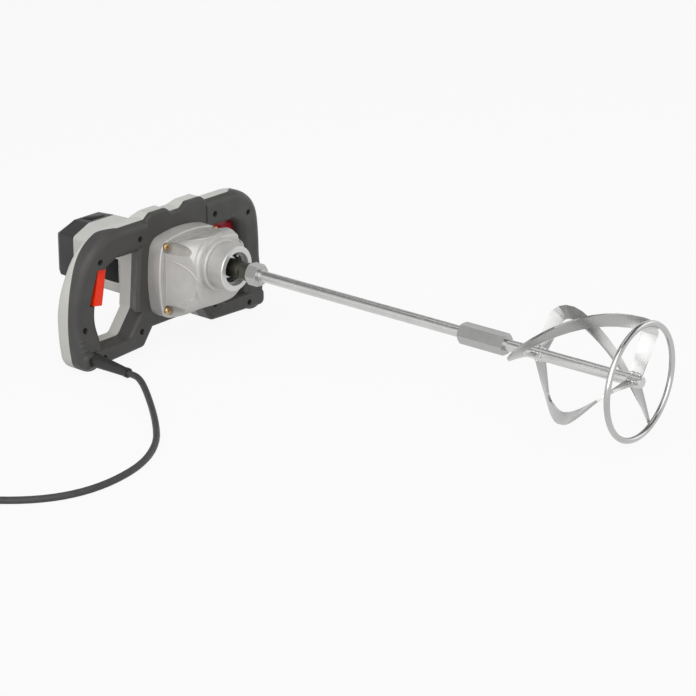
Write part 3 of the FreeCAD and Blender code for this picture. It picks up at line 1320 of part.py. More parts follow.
def brush_gear():
    """Brass brush holders on both sides of the commutator, and the carbons inside them."""
    middle = COMMUTATOR_REAR_Z + COMMUTATOR_LENGTH / 2
    half_y = BRUSH_TALL / 2 + BRUSH_HOLDER_WALL
    half_z = BRUSH_DEEP / 2 + BRUSH_HOLDER_WALL
    wall_x = BARREL_HALF - WALL - SEAT_GAP
    tip_x = COMMUTATOR_R + MOVE_GAP
    start_x = tip_x + BRUSH_TIP
    box = Part.makeBox(wall_x - start_x, 2 * half_y, 2 * half_z, Vector(start_x, MOTOR_Y - half_y, middle - half_z))
    bore = Part.makeBox(
        wall_x - start_x - BRUSH_HOLDER_END, BRUSH_TALL, BRUSH_DEEP,
        Vector(start_x, MOTOR_Y - BRUSH_TALL / 2, middle - BRUSH_DEEP / 2),
    )
    gap = SEAT_GAP
    carbon = Part.makeBox(
        BRUSH_LENGTH, BRUSH_TALL - 2 * gap, BRUSH_DEEP - 2 * gap,
        Vector(tip_x, MOTOR_Y - BRUSH_TALL / 2 + gap, middle - BRUSH_DEEP / 2 + gap),
    )
    return Part.makeCompound(both(box.cut(bore))), Part.makeCompound(both(carbon))


def build():
    """All nodes of the tool by name, in its own axes."""
    front, rear = frame_halves()
    nodes = {
        "front_frame": front,
        "rear_housing": rear,
        "rear_cap": rear_cap(),
        "gearbox_cover": gearbox_cover(),
        "bearing_plate": bearing_plate(),
        "nose_circlip": nose_circlip(),
        "spindle": spindle(),
        "output_gear": output_gear(),
        "layshaft": layshaft(),
        "layshaft_gear": layshaft_gear(),
        "lock_nut": lock_nut(),
        "upper_rod": upper_rod(),
        "hex_coupling": hex_coupling(),
        "lower_rod": lower_rod(),
        "mixing_ring": mixing_ring(),
        "field_core": field_core(),
        "field_coils": Part.makeCompound([field_coil(middle, 0.0) for middle in (90.0, 270.0)]),
        "armature_shaft": armature_shaft(),
        "armature_core": armature_core(),
        "armature_windings": armature_windings(),
        "commutator": commutator(),
        "fan": fan(),
        "cord_sleeve": cord_sleeve(),
        "right_trigger": trigger(RIGHT_TRIGGER_MID_Z, RIGHT_TRIGGER_OUT),
        "left_trigger": mirrored(trigger(TRIGGER_MID_Z, 0.0)),
        "switches": Part.makeCompound(both(switch())),
    }
    nodes.update(bushes())
    nodes["brush_holders"], nodes["carbon_brushes"] = brush_gear()
    for number in range(BLADE_COUNT):
        nodes[f"blade_{number + 1}"] = blade(number)
    nodes["spindle_front_bearing"] = ball_bearing(
        FRONT_BEARING_R, SPINDLE_R + RUN_GAP, FRONT_BEARING_Z, FRONT_BEARING_WIDTH
    )
    nodes["armature_front_bearing"] = ball_bearing(
        ARM_BEARING_R, ARMATURE_FRONT_R + RUN_GAP, CENTRE_FRONT_Z - PLATE_LIP - ARM_BEARING_WIDTH, ARM_BEARING_WIDTH, 0.0, MOTOR_Y
    )
    nodes["armature_rear_bearing"] = ball_bearing(
        REAR_ARM_BEARING_R, ARMATURE_REAR_R + RUN_GAP, REAR_SEAT_Z, REAR_ARM_BEARING_WIDTH, 0.0, MOTOR_Y
    )
    nodes["frame_screws"] = screws(
        frame_spots(), FRAME_SCREW_R, FRAME_SCREW_TIP_Z, FRAME_SCREW_SEAT_Z,
        FRAME_SCREW_HEAD_R, FRAME_SCREW_HEAD_LENGTH,
    )
    nodes["gearbox_screws"] = screws(
        gear_spots(), GEAR_SCREW_R, CENTRE_FRONT_Z - GEAR_SCREW_BITE + CUT_SPARE, FLANGE_FRONT_Z,
        GEAR_SCREW_HEAD_R, GEAR_SCREW_HEAD_LENGTH,
    )
    nodes["cap_screws"] = screws(
        cap_spots(), CAP_SCREW_R, BARREL_REAR_Z + CAP_SCREW_BITE - CUT_SPARE, CAP_SCREW_SEAT_Z,
        CAP_SCREW_HEAD_R, CAP_SCREW_HEAD_LENGTH,
    )
    return nodes


# Rest on the floor: both lobes and the mixing ring touch it

REST_REACH = RING_Z - LOBE_FRONT_Z + BAR_ROUND
REST_RISE = BAR_HALF - BAR_END_Y - BAR_ROUND - RING_R
LEAN = math.atan2(REST_RISE, REST_REACH) + math.asin((BAR_ROUND - RING_BAR_R) / math.hypot(REST_REACH, REST_RISE))
SPINDLE_HEIGHT = RING_R * math.cos(LEAN) + RING_Z * math.sin(LEAN) + RING_BAR_R
FRONT_REACH = RING_Z * math.cos(LEAN) + RING_R * math.sin(LEAN) + RING_BAR_R
REAR_REACH = -CAP_REAR_Z * math.cos(LEAN) - (MOTOR_Y - BARREL_HALF_TALL + cap_shrink()) * math.sin(LEAN)
MIDDLE_Y = (FRONT_REACH - REAR_REACH) / 2
LAID = FreeCAD.Placement(
    Vector(0, MIDDLE_Y, SPINDLE_HEIGHT), FreeCAD.Rotation(Vector(1, 0, 0), 90 + math.degrees(LEAN))
)


# Cord, drawn on the floor

COIL_PITCH = 2 * CORD_R + COIL_GAP
COIL_HEIGHT = CORD_R + TIE_GAP + TIE_THICK
TOP_HEIGHT = COIL_HEIGHT + COIL_PITCH


def floor_point(spot, height):
    """Point above the floor from a place on the cord's route."""
    return Vector(spot[0], spot[1] + MIDDLE_Y, height)


def biarc(start, leave, end, arrive):
    """Two arcs that join two points and keep the direction at each of them."""
    span = end - start
    both_ways = span.dot(leave + arrive)
    bend = 2 * (1 - leave.dot(arrive))
    reach = (math.sqrt(both_ways**2 + bend * span.dot(span)) - both_ways) / bend
    first = start + leave * reach
    second = end - arrive * reach
    join = (first + second) / 2
    return [tangent_arc(start, first, join), tangent_arc(join, second, end)]


def tangent_arc(start, corner, end):
    """Arc from start to end, tangent to the two equal legs that meet in the corner."""
    to_start = (start - corner).normalize()
    to_end = (end - corner).normalize()
    half = to_start.getAngle(to_end) / 2
    inward = (to_start + to_end).normalize()
    leg = (start - corner).Length
    return Part.Arc(start, corner + inward * (leg / math.cos(half) - leg * math.tan(half)), end).toShape()


def round_tube(edges, start, direction):
    """Cord that follows a chain of edges."""
    section = Part.Wire(Part.makeCircle(CORD_R, start, direction))
    return Part.Wire(edges).makePipeShell([section], True, False)


def coil_axes():
    """Start of the coil and its directions on the floor: across towards its middle, and along the cord."""
    start = floor_point(COIL_START, COIL_HEIGHT)
    along = (start - floor_point(CORD_ROUTE[-1], COIL_HEIGHT)).normalize()
    return start, Vector(-along.y, along.x, 0), along


def coil_point(across, along, layer):
    """Point of the coil counted from its middle."""
    start, to_middle, ahead = coil_axes()
    return start + to_middle * (COIL_R + across) + ahead * along + Vector(0, 0, layer * COIL_PITCH)


def coil_halves():
    """Half turns as (middle, radius, layer): inwards on the floor, then outwards on top."""
    step = COIL_PITCH / 2
    count = 2 * COIL_TURNS
    halves = [(i % 2 * step, COIL_R - i * step, 0) for i in range(count)]
    inner = COIL_R - (count - 1) * step
    halves.append((step, inner, 1))
    halves += [(-step if i % 2 == 0 else 0.0, inner + (i + 2) * step, 1) for i in range(count - 3)]
    return halves


def coil_edges():
    """Middle line of the coil, with a short straight start and a straight tail."""
    start, to_middle, ahead = coil_axes()
    tail = ahead * (2 * CORD_R)
    edges = [Part.LineSegment(start - tail, start).toShape()]
    halves = coil_halves()
    for number, (middle, radius, layer) in enumerate(halves):
        side = 1 if number % 2 == 0 else -1
        first = coil_point(middle - side * radius, 0, layer)
        crown = coil_point(middle, side * radius, layer)
        last = coil_point(middle + side * radius, 0, layer)
        if number == 2 * COIL_TURNS - 1:
            slant = radius * math.sqrt(0.5)
            edges.append(Part.Arc(first, coil_point(middle - side * slant, side * slant, layer), crown).toShape())
            edges += biarc(crown, to_middle * side, last + Vector(0, 0, COIL_PITCH), ahead * -side)
        else:
            edges.append(Part.Arc(first, crown, last).toShape())
    edges.append(Part.LineSegment(last, last + ahead * COIL_TAIL).toShape())
    return edges


def coil_clearance(edges):
    """Least gap between turns of the coil, measured on points of its middle line."""
    spacing = CORD_R / 4
    points = []
    for edge in edges:
        points += edge.discretize(max(2, int(edge.Length / spacing)))[:-1]
    skip = int(4 * CORD_R / spacing)
    least = min((points[i] - q).Length for i in range(len(points)) for q in points[i + skip::3])
    return least - 2 * CORD_R


def cord_tube():
    """Cord from the sleeve to the coil: straight runs joined by tangent arcs."""
    tip = SLEEVE_ROOT + SLEEVE_AXIS * SLEEVE_LENGTH
    points = [LAID.multVec(tip - SLEEVE_AXIS * CORD_HIDDEN), LAID.multVec(tip + SLEEVE_AXIS * CORD_LEAD)]
    points += [floor_point(spot, CORD_R) for spot in CORD_ROUTE[:-1]]
    points.append(floor_point(CORD_ROUTE[-1], COIL_HEIGHT))
    start, to_middle, ahead = coil_axes()
    points.append(start - ahead * (2 * CORD_R))
    edges = []
    here = points[0]
    for before, corner, after in zip(points, points[1:], points[2:]):
        back = (before - corner).normalize()
        onward = (after - corner).normalize()
        leg = ARC_SHARE * min((before - corner).Length, (after - corner).Length)
        print("cord bend radius", round(leg * math.tan(back.getAngle(onward) / 2), 1))
        edges.append(Part.LineSegment(here, corner + back * leg).toShape())
        edges.append(tangent_arc(corner + back * leg, corner, corner + onward * leg))
        here = corner + onward * leg
    edges.append(Part.LineSegment(here, points[-1]).toShape())
    cord = round_tube(edges, points[0], points[1] - points[0])
    length = sum(edge.Length for edge in edges)
    print("cord length", round(length, 1), "volume share", round(cord.Volume / (math.pi * CORD_R**2 * length), 4))
    return cord


def in_coil_axes(shape, origin):
    """Moves a piece drawn with x across, y along the cord and z up onto its place beside the coil."""
    start, to_middle, ahead = coil_axes()
    turn = FreeCAD.Rotation(-to_middle, ahead, Vector(0, 0, 1), "XYZ")
    shape.Placement = FreeCAD.Placement(origin, turn)
    return shape


def cord_tie():
    """Strap round all the turns on one side of the coil, with its lock on top."""
    inner_r = COIL_R - (2 * COIL_TURNS - 1) * COIL_PITCH / 2
    half = TIE_WIDTH / 2
    sag = inner_r - math.sqrt(inner_r**2 - (half + COIL_PITCH / 2) ** 2)
    near = inner_r - sag - CORD_R - TIE_GAP
    far = COIL_R + CORD_R + TIE_GAP
    low = TIE_THICK
    high = TOP_HEIGHT + CORD_R + TIE_GAP
    outer = Part.makeBox(
        TIE_WIDTH, far - near + 2 * TIE_THICK, high - low + 2 * TIE_THICK, Vector(-half, near - TIE_THICK, low - TIE_THICK)
    )
    inside = Part.makeBox(TIE_WIDTH, far - near, high - low, Vector(-half, near, low))
    lock = Part.makeBox(TIE_WIDTH, TIE_HEAD, TIE_HEAD, Vector(-half, (near + far) / 2, high))
    strap = fused([outer, lock]).cut(inside)
    return in_coil_axes(strap, coil_point(0, 0, 0) - Vector(0, 0, COIL_HEIGHT))


def plug():
    """Flat two-pin plug on the end of the coil: body and pins."""
    tall = TOP_HEIGHT - TIE_GAP
    sizes = ((PLUG_NECK, PLUG_NECK, 0.0), (PLUG_HALF_WIDTH - PLUG_TAPER, tall - PLUG_CROWN, 0.5), (PLUG_HALF_WIDTH, tall, 1.0))
    sections = [rounded_wire(rectangle(x, y, PLUG_ROUND), PLUG_LENGTH * share) for x, y, share in sizes]
    body = Part.makeLoft(sections, True, True)
    pins = [
        rod(PLUG_PIN_R, PLUG_LENGTH, PLUG_LENGTH + PLUG_PIN_LENGTH, side * PLUG_PIN_SPACING / 2) for side in (1, -1)
    ]
    start, to_middle, ahead = coil_axes()
    end = coil_point(-COIL_R, COIL_TAIL, 1)
    turn = FreeCAD.Rotation(to_middle, Vector(0, 0, 1), ahead, "ZXY")
    place = FreeCAD.Placement(end, turn)
    pins = Part.makeCompound(pins)
    body.Placement = place
    pins.Placement = place
    return body, pins


def floor_nodes():
    """Cord, coil, tie and plug by name, on the floor."""
    edges = coil_edges()
    start, to_middle, ahead = coil_axes()
    print("least gap in the coil", round(coil_clearance(edges), 2))
    body, pins = plug()
    return {
        "power_cord": cord_tube(),
        "cord_coil": round_tube(edges, start - ahead * (2 * CORD_R), ahead),
        "cord_tie": cord_tie(),
        "plug_body": body,
        "plug_pins": pins,
    }


def main():
    os.makedirs("parts", exist_ok=True)
    nodes = build()
    for shape in nodes.values():
        shape.Placement = LAID.multiply(shape.Placement)
    nodes.update(floor_nodes())
    for name, shape in nodes.items():
        print(name, shape.isValid(), round(shape.Volume, 1), len(shape.Solids))
        shape.exportStep(f"parts/{name}.step")


if __name__ == "__main__":
    main()
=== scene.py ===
import json
import math

import bmesh
import bpy
from bpy.props import FloatProperty, FloatVectorProperty, IntProperty, PointerProperty
from mathutils import Matrix, Vector


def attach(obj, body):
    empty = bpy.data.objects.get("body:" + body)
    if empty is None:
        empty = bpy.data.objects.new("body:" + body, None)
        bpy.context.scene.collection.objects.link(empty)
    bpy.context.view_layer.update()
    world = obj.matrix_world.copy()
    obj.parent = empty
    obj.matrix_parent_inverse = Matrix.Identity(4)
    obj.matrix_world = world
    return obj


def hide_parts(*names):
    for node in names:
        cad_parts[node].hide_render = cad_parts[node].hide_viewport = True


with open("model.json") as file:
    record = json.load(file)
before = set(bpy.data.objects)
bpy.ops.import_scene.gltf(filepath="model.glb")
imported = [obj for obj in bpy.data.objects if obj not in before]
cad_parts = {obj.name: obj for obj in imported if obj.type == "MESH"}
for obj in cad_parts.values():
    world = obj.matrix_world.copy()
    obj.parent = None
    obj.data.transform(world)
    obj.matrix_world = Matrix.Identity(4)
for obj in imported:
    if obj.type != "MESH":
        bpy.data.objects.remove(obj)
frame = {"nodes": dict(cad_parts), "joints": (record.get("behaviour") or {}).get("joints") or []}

bl_info = {
    "name": "Mixing drill",
    "version": (1, 0, 0),
    "blender": (4, 5, 0),
    "location": "View3D > Sidebar > Mixing drill",
    "description": "Dresses the packed mixing drill with finishes, cord, fittings and a studio",
    "category": "Object",
}

# Axes of the tool: x right seen from the paddle, y up, z forward along the spindle, in millimetres
MM = 0.001
SPINDLE_JOINT = next(joint for joint in frame["joints"] if joint["name"] == "spindle_spin")
ZERO = Vector(SPINDLE_JOINT["pos_m"])
FORWARD = Vector(SPINDLE_JOINT["axis"])
RIGHT = Vector((1, 0, 0))
UP = FORWARD.cross(RIGHT)
LEAN = math.atan2(-FORWARD.z, -FORWARD.y)
TOOL = Matrix.Translation(ZERO) @ Matrix((RIGHT, UP, FORWARD)).transposed().to_4x4() @ Matrix.Scale(MM, 4)
IN_PLACE = Matrix.Identity(4)
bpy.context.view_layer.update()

# Casting and its screws, as in the part, with the turn of each screw's recess
NOSE_FRONT_Z = 84.0
NOSE_TURNED_DEPTH = 1.2
SEAL_RADII = (12.0, 16.2)
GEAR_SCREW_X = 38.7
GEAR_SCREW_Y = 36.3
GEAR_SCREW_MID_Y = -16.0
GEAR_SCREW_SEAT_Z = 16.0
GEAR_SCREW_BITE_Z = -15.0
GEAR_SCREW_SHANK_R = 2.5
GEAR_SCREW_TURNS = (0.5, 1.4, 2.3, 3.2)

# Cross recess of a screw: shares of the head's radius and height, and its taper to the bottom
RECESS_SHARES = (1.15, 0.3, 0.9)
RECESS_TAPER = (0.45, 0.7, 1.0)
HEAD_ROUND = 0.55

# Paddle, as in the part
ROD_RADIUS = 6.0
BLADE_COUNT = 3
BLADE_PHASE = 54.0
BLADE_START_Z = 470.0
BLADE_RATE = -0.99275
BLADE_THICK = 2.5
ARM_MIDDLES_Z = (476.25, 584.6)
RING_SEAT = (55.0, 588.4)

# Welds: lengths, height over the rod, and each wobble of a bead's lumps as a share and a turn per lump
ROOT_WELD = 11.0
TACK_WELD = 3.0
WELD_LIFT = 0.5
LUMP_ASIDE = (0.3, 1.9)
LUMP_OUT = (0.25, 2.7)
LUMP_SWELL = (0.18, 2.3)

# Bare plates: a point in front of each, their sizes, corners, and bevel as a share of the thickness
SIDE_PLATE_FROM = (-80.0, -20.5, -70.0)
SIDE_PLATE_SIZE = (42.0, 28.0)
CAP_PLATE_FROM = (0.5, 40.0, -132.0)
CAP_PLATE_SIZE = (23.0, 14.0)
PLATE_CORNER = 1.6
PLATE_EDGE = 0.3

# Raised rims round the casting's hollows: half ellipses, where the rays start, and shares of a rim's radius
SIDE_RIM_MIDDLE = (-19.0, 18.0)
SIDE_RIM_REACH = (25.0, 39.0)
TOP_RIM_MIDDLE = (-1.0, 16.0)
TOP_RIM_REACH = (29.0, 37.5)
RIM_POINTS = 48
RIM_FROM = 80.0
RIM_SINK = 0.35
RIM_SMOOTHING = 3
RIM_END = 0.3
RIM_TAPER = 6

# Sloping roof of the grey half: the slope's ends, as in the part, and half of the lid's outline
ROOF_LOW = (36.0, -38.0)
ROOF_HIGH = (54.0, -21.0)
ROOF_HALF = ((48.2, 38.6), (48.2, 46.2), (41.0, 51.8), (15.4, 51.8), (7.4, 45.8))
ROOF_THICK = 1.5
ROOF_SINK = 0.06

# Grip ribs on the outer half of the left grip
RIB_X = -142.5
RIB_LENGTH = 11.0
RIB_ROWS_Y = (-65.0, -70.5, -76.0)
RIB_TILT = 0.14
RIB_WIDTH = 2.6
RIB_FROM = 30.0
RIB_SINK = 0.2
RIB_SPREAD = 1.3
RIB_END = 1.2
RIB_THICK = 0.4
CREST_WIDTH = 0.1

# Ring of painted shadow round the root of the sleeve: a thin black band laid on the frame where the sleeve's
# recess is shaded
SHADOW_RING_RADIUS = 9.3
SHADOW_RING_STEP = 0.47
SHADOW_RING_STEPS = 3
SHADOW_RING_FROM = 40.0
SHADOW_RING_LIFT = 0.25
SHADOW_RING_THICK = 0.5

# Sleeve of the cord in the tool's axes, and the straight lengths of cord inside it and in front of it
SLEEVE_ROOT = (-130.0, -88.0, -8.0)
SLEEVE_TIP = (-130.0, -90.83, 45.93)
SLEEVE_DROOP = math.radians(3.0)
CORD_HIDDEN = 10.0
CORD_LEAD = 16.0

# Cord in metres: the route's points on the floor, from the sleeve to the coil, and the coil
MIDDLE_Y = ZERO.y
CORD_RADIUS = 0.0035
CORD_ROUTE = (
    (-0.161, -0.097), (-0.216, -0.161), (-0.263, -0.207), (-0.318, -0.235),
    (-0.384, -0.238), (-0.432, -0.208), (-0.468, -0.145),
)
COIL_START = (-0.4905, -0.089)
COIL_RADIUS = 0.050
COIL_TURNS = 4
COIL_PITCH = 0.0076
COIL_HEIGHT = 0.0048
COIL_TAIL = 0.058

# Finishes: the range that noise mostly keeps to, drawing lines per metre, and smooth angles in degrees
NOISE_RANGE = (0.3, 0.7)
DRAWN_LINES = 2600.0
EDGE_ANGLE = 35.0
SOFT_ANGLE = 60.0

# Studio: camera in the tool's axes, lamps as place, aim and size in metres, and the white surroundings
CAMERA_PLACE = (-1726.0, 789.4, 1627.8)
CAMERA_AIM = (94.1, -98.6, 161.9)
SENSOR_WIDTH = 36.0
VIEW_DEPTH = 50.0
KEY_LAMP = ((-1.8, -0.9, 1.3), (0.0, 0.1, 0.08), 3.0)
TOP_LAMP = ((0.1, 0.25, 1.9), (0.0, 0.15, 0.05), 1.4)
FILL_LAMP = ((1.5, -1.2, 0.9), (0.0, 0.0, 0.08), 1.2)
WHITE = (1.0, 1.0, 1.0, 1.0)
FLOOR_SIZE = 14.0
FLOOR_TONE = (0.5, 0.5, 0.5)
FLOOR_GLOW = 0.92
CEILING_RANGE = {"From Min": 0.35, "From Max": 0.75, "To Min": 1.0, "To Max": 0.12}


def srgb(red, green, blue):
    """Linear colour from the 0 to 255 values that a screen shows."""
    values = []
    for value in (red, green, blue):
        share = value / 255
        values.append(share / 12.92 if share <= 0.04045 else ((share + 0.055) / 1.055) ** 2.4)
    return tuple(values)


def tool(x, y, z):
    """Point of the row frame from the tool's own axes."""
    return TOOL @ Vector((x, y, z))


def colour_property(name, description, shade):
    """Colour setting with its default from screen values."""
    return FloatVectorProperty(
        name=name, description=description, subtype="COLOR", size=3, min=0.0, max=1.0, default=srgb(*shade)
    )


def number_property(name, description, default, unit="NONE"):
    """Number setting with its default."""
    return FloatProperty(name=name, description=description, default=default, unit=unit)


class MixingDrillColours(bpy.types.PropertyGroup):
    """Colours of the drill's finishes"""

    charcoal: colour_property("Charcoal", "Front half of the frame", (67, 66, 65))
    grey: colour_property("Grey", "Rear half of the frame and motor barrel", (196, 196, 191))
    cap: colour_property("Cap", "Motor end cap", (50, 50, 50))
    trigger: colour_property("Trigger", "Left trigger", (255, 54, 18))
    # Darker than the left trigger: a crimson of its own, darkened further with painted shade
    shaded_far_trigger: colour_property("Far trigger, shaded", "Right trigger, its red darkened with painted shade", (176, 18, 38))
    casting: colour_property("Casting", "Gearbox cover", (192, 191, 188))
    machined: colour_property("Machined", "Turned front of the nose", (214, 214, 212))
    steel: colour_property("Steel", "Rods and bearings", (206, 206, 205))
    galvanised: colour_property("Galvanised", "Blades, coupling and lock nut", (176, 176, 175))
    ring: colour_property("Ring", "Bright ring of the paddle", (188, 188, 187))
    black_steel: colour_property("Black steel", "Spindle", (100, 99, 91))
    zinc: colour_property("Zinc", "Gearbox screws", (196, 164, 120))
    rubber: colour_property("Rubber", "Sleeve and plug", (46, 45, 46))
    cord: colour_property("Cord", "Mains cord", (62, 61, 62))
    copper: colour_property("Copper", "Windings and commutator", (184, 110, 70))
    plate: colour_property("Plate", "Bare plates", (9, 9, 10))
    # Near black of the ring round the sleeve's root: painted shadow of its recess
    lip: colour_property("Lip", "Painted shadow round the sleeve's root", (14, 14, 14))
    tie: colour_property("Tie", "Tie round the cord's coil", (28, 28, 29))
    nickel: colour_property("Nickel", "Pins of the plug", (206, 203, 196))
    screw: colour_property("Screw", "Screws of the frame and the cap", (44, 44, 45))
    inner: colour_property("Inner plastic", "Fan and switches", (30, 30, 32))
    gear: colour_property("Gear", "Gears and shafts inside", (150, 150, 150))
    bearing: colour_property("Bearing", "Races of the bearings", (222, 222, 222))
    seal: colour_property("Seal", "Rubber seal of the front bearing", (16, 16, 16))
    bronze: colour_property("Bronze", "Bushes", (168, 124, 74))
    core: colour_property("Core", "Sheets of the motor's cores", (128, 128, 132))
    brass: colour_property("Brass", "Commutator and brush holders", (196, 150, 88))
    carbon: colour_property("Carbon", "Brushes", (34, 34, 35))


class MixingDrillSizes(bpy.types.PropertyGroup):
    """Sizes of the pieces that are added to the solids"""

    cord_radius: number_property("Cord radius", "Half the cord's thickness", CORD_RADIUS, "LENGTH")
    coil_points: IntProperty(
        name="Coil points", description="Points in each half turn of the coil", default=8
    )
    plate_thickness: number_property("Plate", "Thickness of the bare plates, mm", 0.5)
    plate_rim: number_property("Plate rim", "Width of the bright rim of a plate, mm", 0.5)
    rim_radius: number_property("Casting rim", "Half width of the casting's rims, mm", 1.3)
    rib_height: number_property("Grip rib", "Height of a grip rib, mm", 0.6)
    weld_size: number_property("Weld", "Radius of a weld lump, mm", 1.5)
    screw_head: number_property("Screw head", "Radius of a gearbox screw's head, mm", 4.4)
    screw_height: number_property("Screw height", "Height of a gearbox screw's head, mm", 3.4)


class MixingDrillStudio(bpy.types.PropertyGroup):
    """Camera and lights"""

    lens: number_property("Lens", "Focal length on a 36 mm frame, mm", 117.88)
    roll: number_property("Roll", "Turn of the camera about its view, degrees", -2.773)
    key_power: number_property("Key light", "Power of the large left light", 52.0, "POWER")
    top_power: number_property("Top light", "Power of the overhead light", 6.0, "POWER")
    fill_power: number_property("Fill light", "Power of the right light", 4.0, "POWER")
    world: number_property("World", "Strength of the even light", 0.42)


def colours():
    return bpy.context.scene.mixing_drill_colours


def sizes():
    return bpy.context.scene.mixing_drill_sizes


def studio():
    return bpy.context.scene.mixing_drill_studio


# Materials

def new_node(tree, kind, inputs, **settings):
    """New node of a tree with its settings, its inputs from sockets or values."""
    node = tree.nodes.new(kind)
    for name, value in settings.items():
        setattr(node, name, value)
    for name, value in inputs.items():
        if isinstance(value, bpy.types.NodeSocket):
            tree.links.new(value, node.inputs[name])
        else:
            node.inputs[name].default_value = value
    return node


def calculated(tree, operation, first, second):
    """Result of a calculation in a node tree, from sockets or numbers."""
    return new_node(tree, "ShaderNodeMath", {0: first, 1: second}, operation=operation).outputs[0]


def seen_rays(tree):
    """Share that is 1 where the surroundings are seen straight, in a gloss or through glass."""
    rays = tree.nodes.new("ShaderNodeLightPath").outputs
    share = rays["Is Camera Ray"]
    for kind in ("Is Glossy Ray", "Is Transmission Ray"):
        share = calculated(tree, "MAXIMUM", share, rays[kind])
    return share


def shown_mix(tree, share, first, second, output):
    """Sends a mix of two shaders to the output of a node tree."""
    mix = new_node(tree, "ShaderNodeMixShader", {0: share, 1: first.outputs[0], 2: second.outputs[0]})
    tree.links.new(mix.outputs[0], tree.nodes[output].inputs["Surface"])


class Finish:
    """Material under construction: its node tree with a principled shader and object coordinates."""

    def __init__(self, name, colour, metallic=0.0, roughness=0.5):
        self.material = bpy.data.materials.new(name)
        self.material.use_nodes = True
        self.tree = self.material.node_tree
        self.shader = self.tree.nodes["Principled BSDF"]
        self.colour = colour
        self.shader.inputs["Base Color"].default_value = (*colour, 1)
        self.shader.inputs["Metallic"].default_value = metallic
        self.shader.inputs["Roughness"].default_value = roughness
        self.place = self.tree.nodes.new("ShaderNodeTexCoord").outputs["Object"]

    def mapped(self, stretch, turn=(0.0, 0.0, 0.0)):
        """Object coordinates that are turned and stretched."""
        inputs = {"Vector": self.place, "Rotation": turn, "Scale": stretch}
        return new_node(self.tree, "ShaderNodeMapping", inputs).outputs["Vector"]

    def noise(self, scale, detail=2.0, roughness=0.5, vector=None):
        """Grey noise of a scale in lumps per metre."""
        inputs = {"Vector": vector or self.place, "Scale": scale, "Detail": detail, "Roughness": roughness}
        return new_node(self.tree, "ShaderNodeTexNoise", inputs).outputs["Fac"]

    def cells(self, scale):
        """Tones of Voronoi cells of a scale in cells per metre."""
        inputs = {"Vector": self.place, "Scale": scale}
        return new_node(self.tree, "ShaderNodeTexVoronoi", inputs).outputs["Color"]

    def ranged(self, value, low, high, out_low=0.0, out_high=1.0):
        """Value moved from one range to another and kept inside it."""
        inputs = {"Value": value, "From Min": low, "From Max": high, "To Min": out_low, "To Max": out_high}
        return new_node(self.tree, "ShaderNodeMapRange", inputs).outputs["Result"]

    def spread(self, noise, low=0.0, high=1.0):
        """Noise stretched so that it mostly reaches from low to high."""
        return self.ranged(noise, *NOISE_RANGE, low, high)

    def mixed(self, share, first, second, kind="RGBA"):
        """Colour or number between two values or sockets."""
        node = self.tree.nodes.new("ShaderNodeMix")
        node.data_type = "RGBA" if kind == "RGBA" else "FLOAT"
        self.tree.links.new(share, node.inputs["Factor"])
        for name, value in (("A", first), ("B", second)):
            socket = next(s for s in node.inputs if s.name == name and s.type == kind)
            if isinstance(value, bpy.types.NodeSocket):
                self.tree.links.new(value, socket)
            else:
                socket.default_value = (*value, 1) if kind == "RGBA" else value
        return next(s for s in node.outputs if s.type == kind)

    def vector_math(self, operation, first, second=None, output="Vector"):
        """Result of a calculation with places."""
        inputs = {0: first} if second is None else {0: first, 1: second}
        return new_node(self.tree, "ShaderNodeVectorMath", inputs, operation=operation).outputs[output]

    def front_of(self, z, blur=0.3):
        """Share that is 1 where the surface lies in front of a height on the spindle, in millimetres."""
        height = z * MM + ZERO.dot(FORWARD)
        here = self.vector_math("DOT_PRODUCT", self.place, FORWARD, "Value")
        return self.ranged(here, height - blur * MM, height + blur * MM)

    def ring(self, inner, outer, blur=0.2):
        """Share that is 1 between two radii round the spindle, in millimetres."""
        across = self.vector_math("CROSS_PRODUCT", self.vector_math("SUBTRACT", self.place, ZERO), FORWARD)
        radius = self.vector_math("LENGTH", across, output="Value")
        outside = self.ranged(radius, (inner - blur) * MM, (inner + blur) * MM)
        inside = self.ranged(radius, (outer - blur) * MM, (outer + blur) * MM, 1.0, 0.0)
        return calculated(self.tree, "MULTIPLY", outside, inside)

    def toned(self, factor):
        """The base colour made lighter or darker."""
        return tuple(min(1.0, channel * factor) for channel in self.colour)

    def linked(self, name, value):
        """Sends a value to an input of the shader."""
        self.tree.links.new(value, self.shader.inputs[name])

    def paint(self, colour):
        self.linked("Base Color", colour)

    def matt(self, value):
        self.linked("Roughness", value)

    def bump(self, pattern, depth, strength):
        """Bump of a depth in millimetres, on top of the bumps before it."""
        inputs = {"Height": pattern, "Distance": depth * MM, "Strength": strength}
        before = self.shader.inputs["Normal"]
        if before.is_linked:
            inputs["Normal"] = before.links[0].from_socket
        self.linked("Normal", new_node(self.tree, "ShaderNodeBump", inputs).outputs["Normal"])


def moulded_plastic(name, colour, grain, depth, roughness, blotch=0.1, shine=0.4):
    """Spark-eroded plastic: fine grain, faint cloudy tone and handling shine."""
    finish = Finish(name, colour, roughness=roughness)
    finish.shader.inputs["Specular IOR Level"].default_value = shine
    clouds = finish.spread(finish.noise(22.0, detail=4.0, roughness=0.6))
    finish.paint(finish.mixed(clouds, finish.toned(1 - blotch), finish.toned(1 + blotch)))
    finish.matt(finish.spread(finish.noise(60.0, detail=3.0), roughness - 0.07, roughness + 0.09))
    finish.bump(finish.noise(grain, roughness=0.6), depth, strength=0.8)
    return finish.material


def trigger_plastic(name, colour):
    """Glossy red plastic with slight waves and worn paler patches."""
    finish = Finish(name, colour, roughness=0.4)
    finish.shader.inputs["Specular IOR Level"].default_value = 0.3
    patches = finish.ranged(finish.noise(70.0, detail=4.0), 0.45, 0.7)
    finish.paint(finish.mixed(patches, finish.colour, finish.toned(1.12)))
    finish.matt(finish.spread(finish.noise(180.0, detail=3.0), 0.34, 0.5))
    finish.bump(finish.noise(260.0), depth=0.08, strength=0.5)
    return finish.material


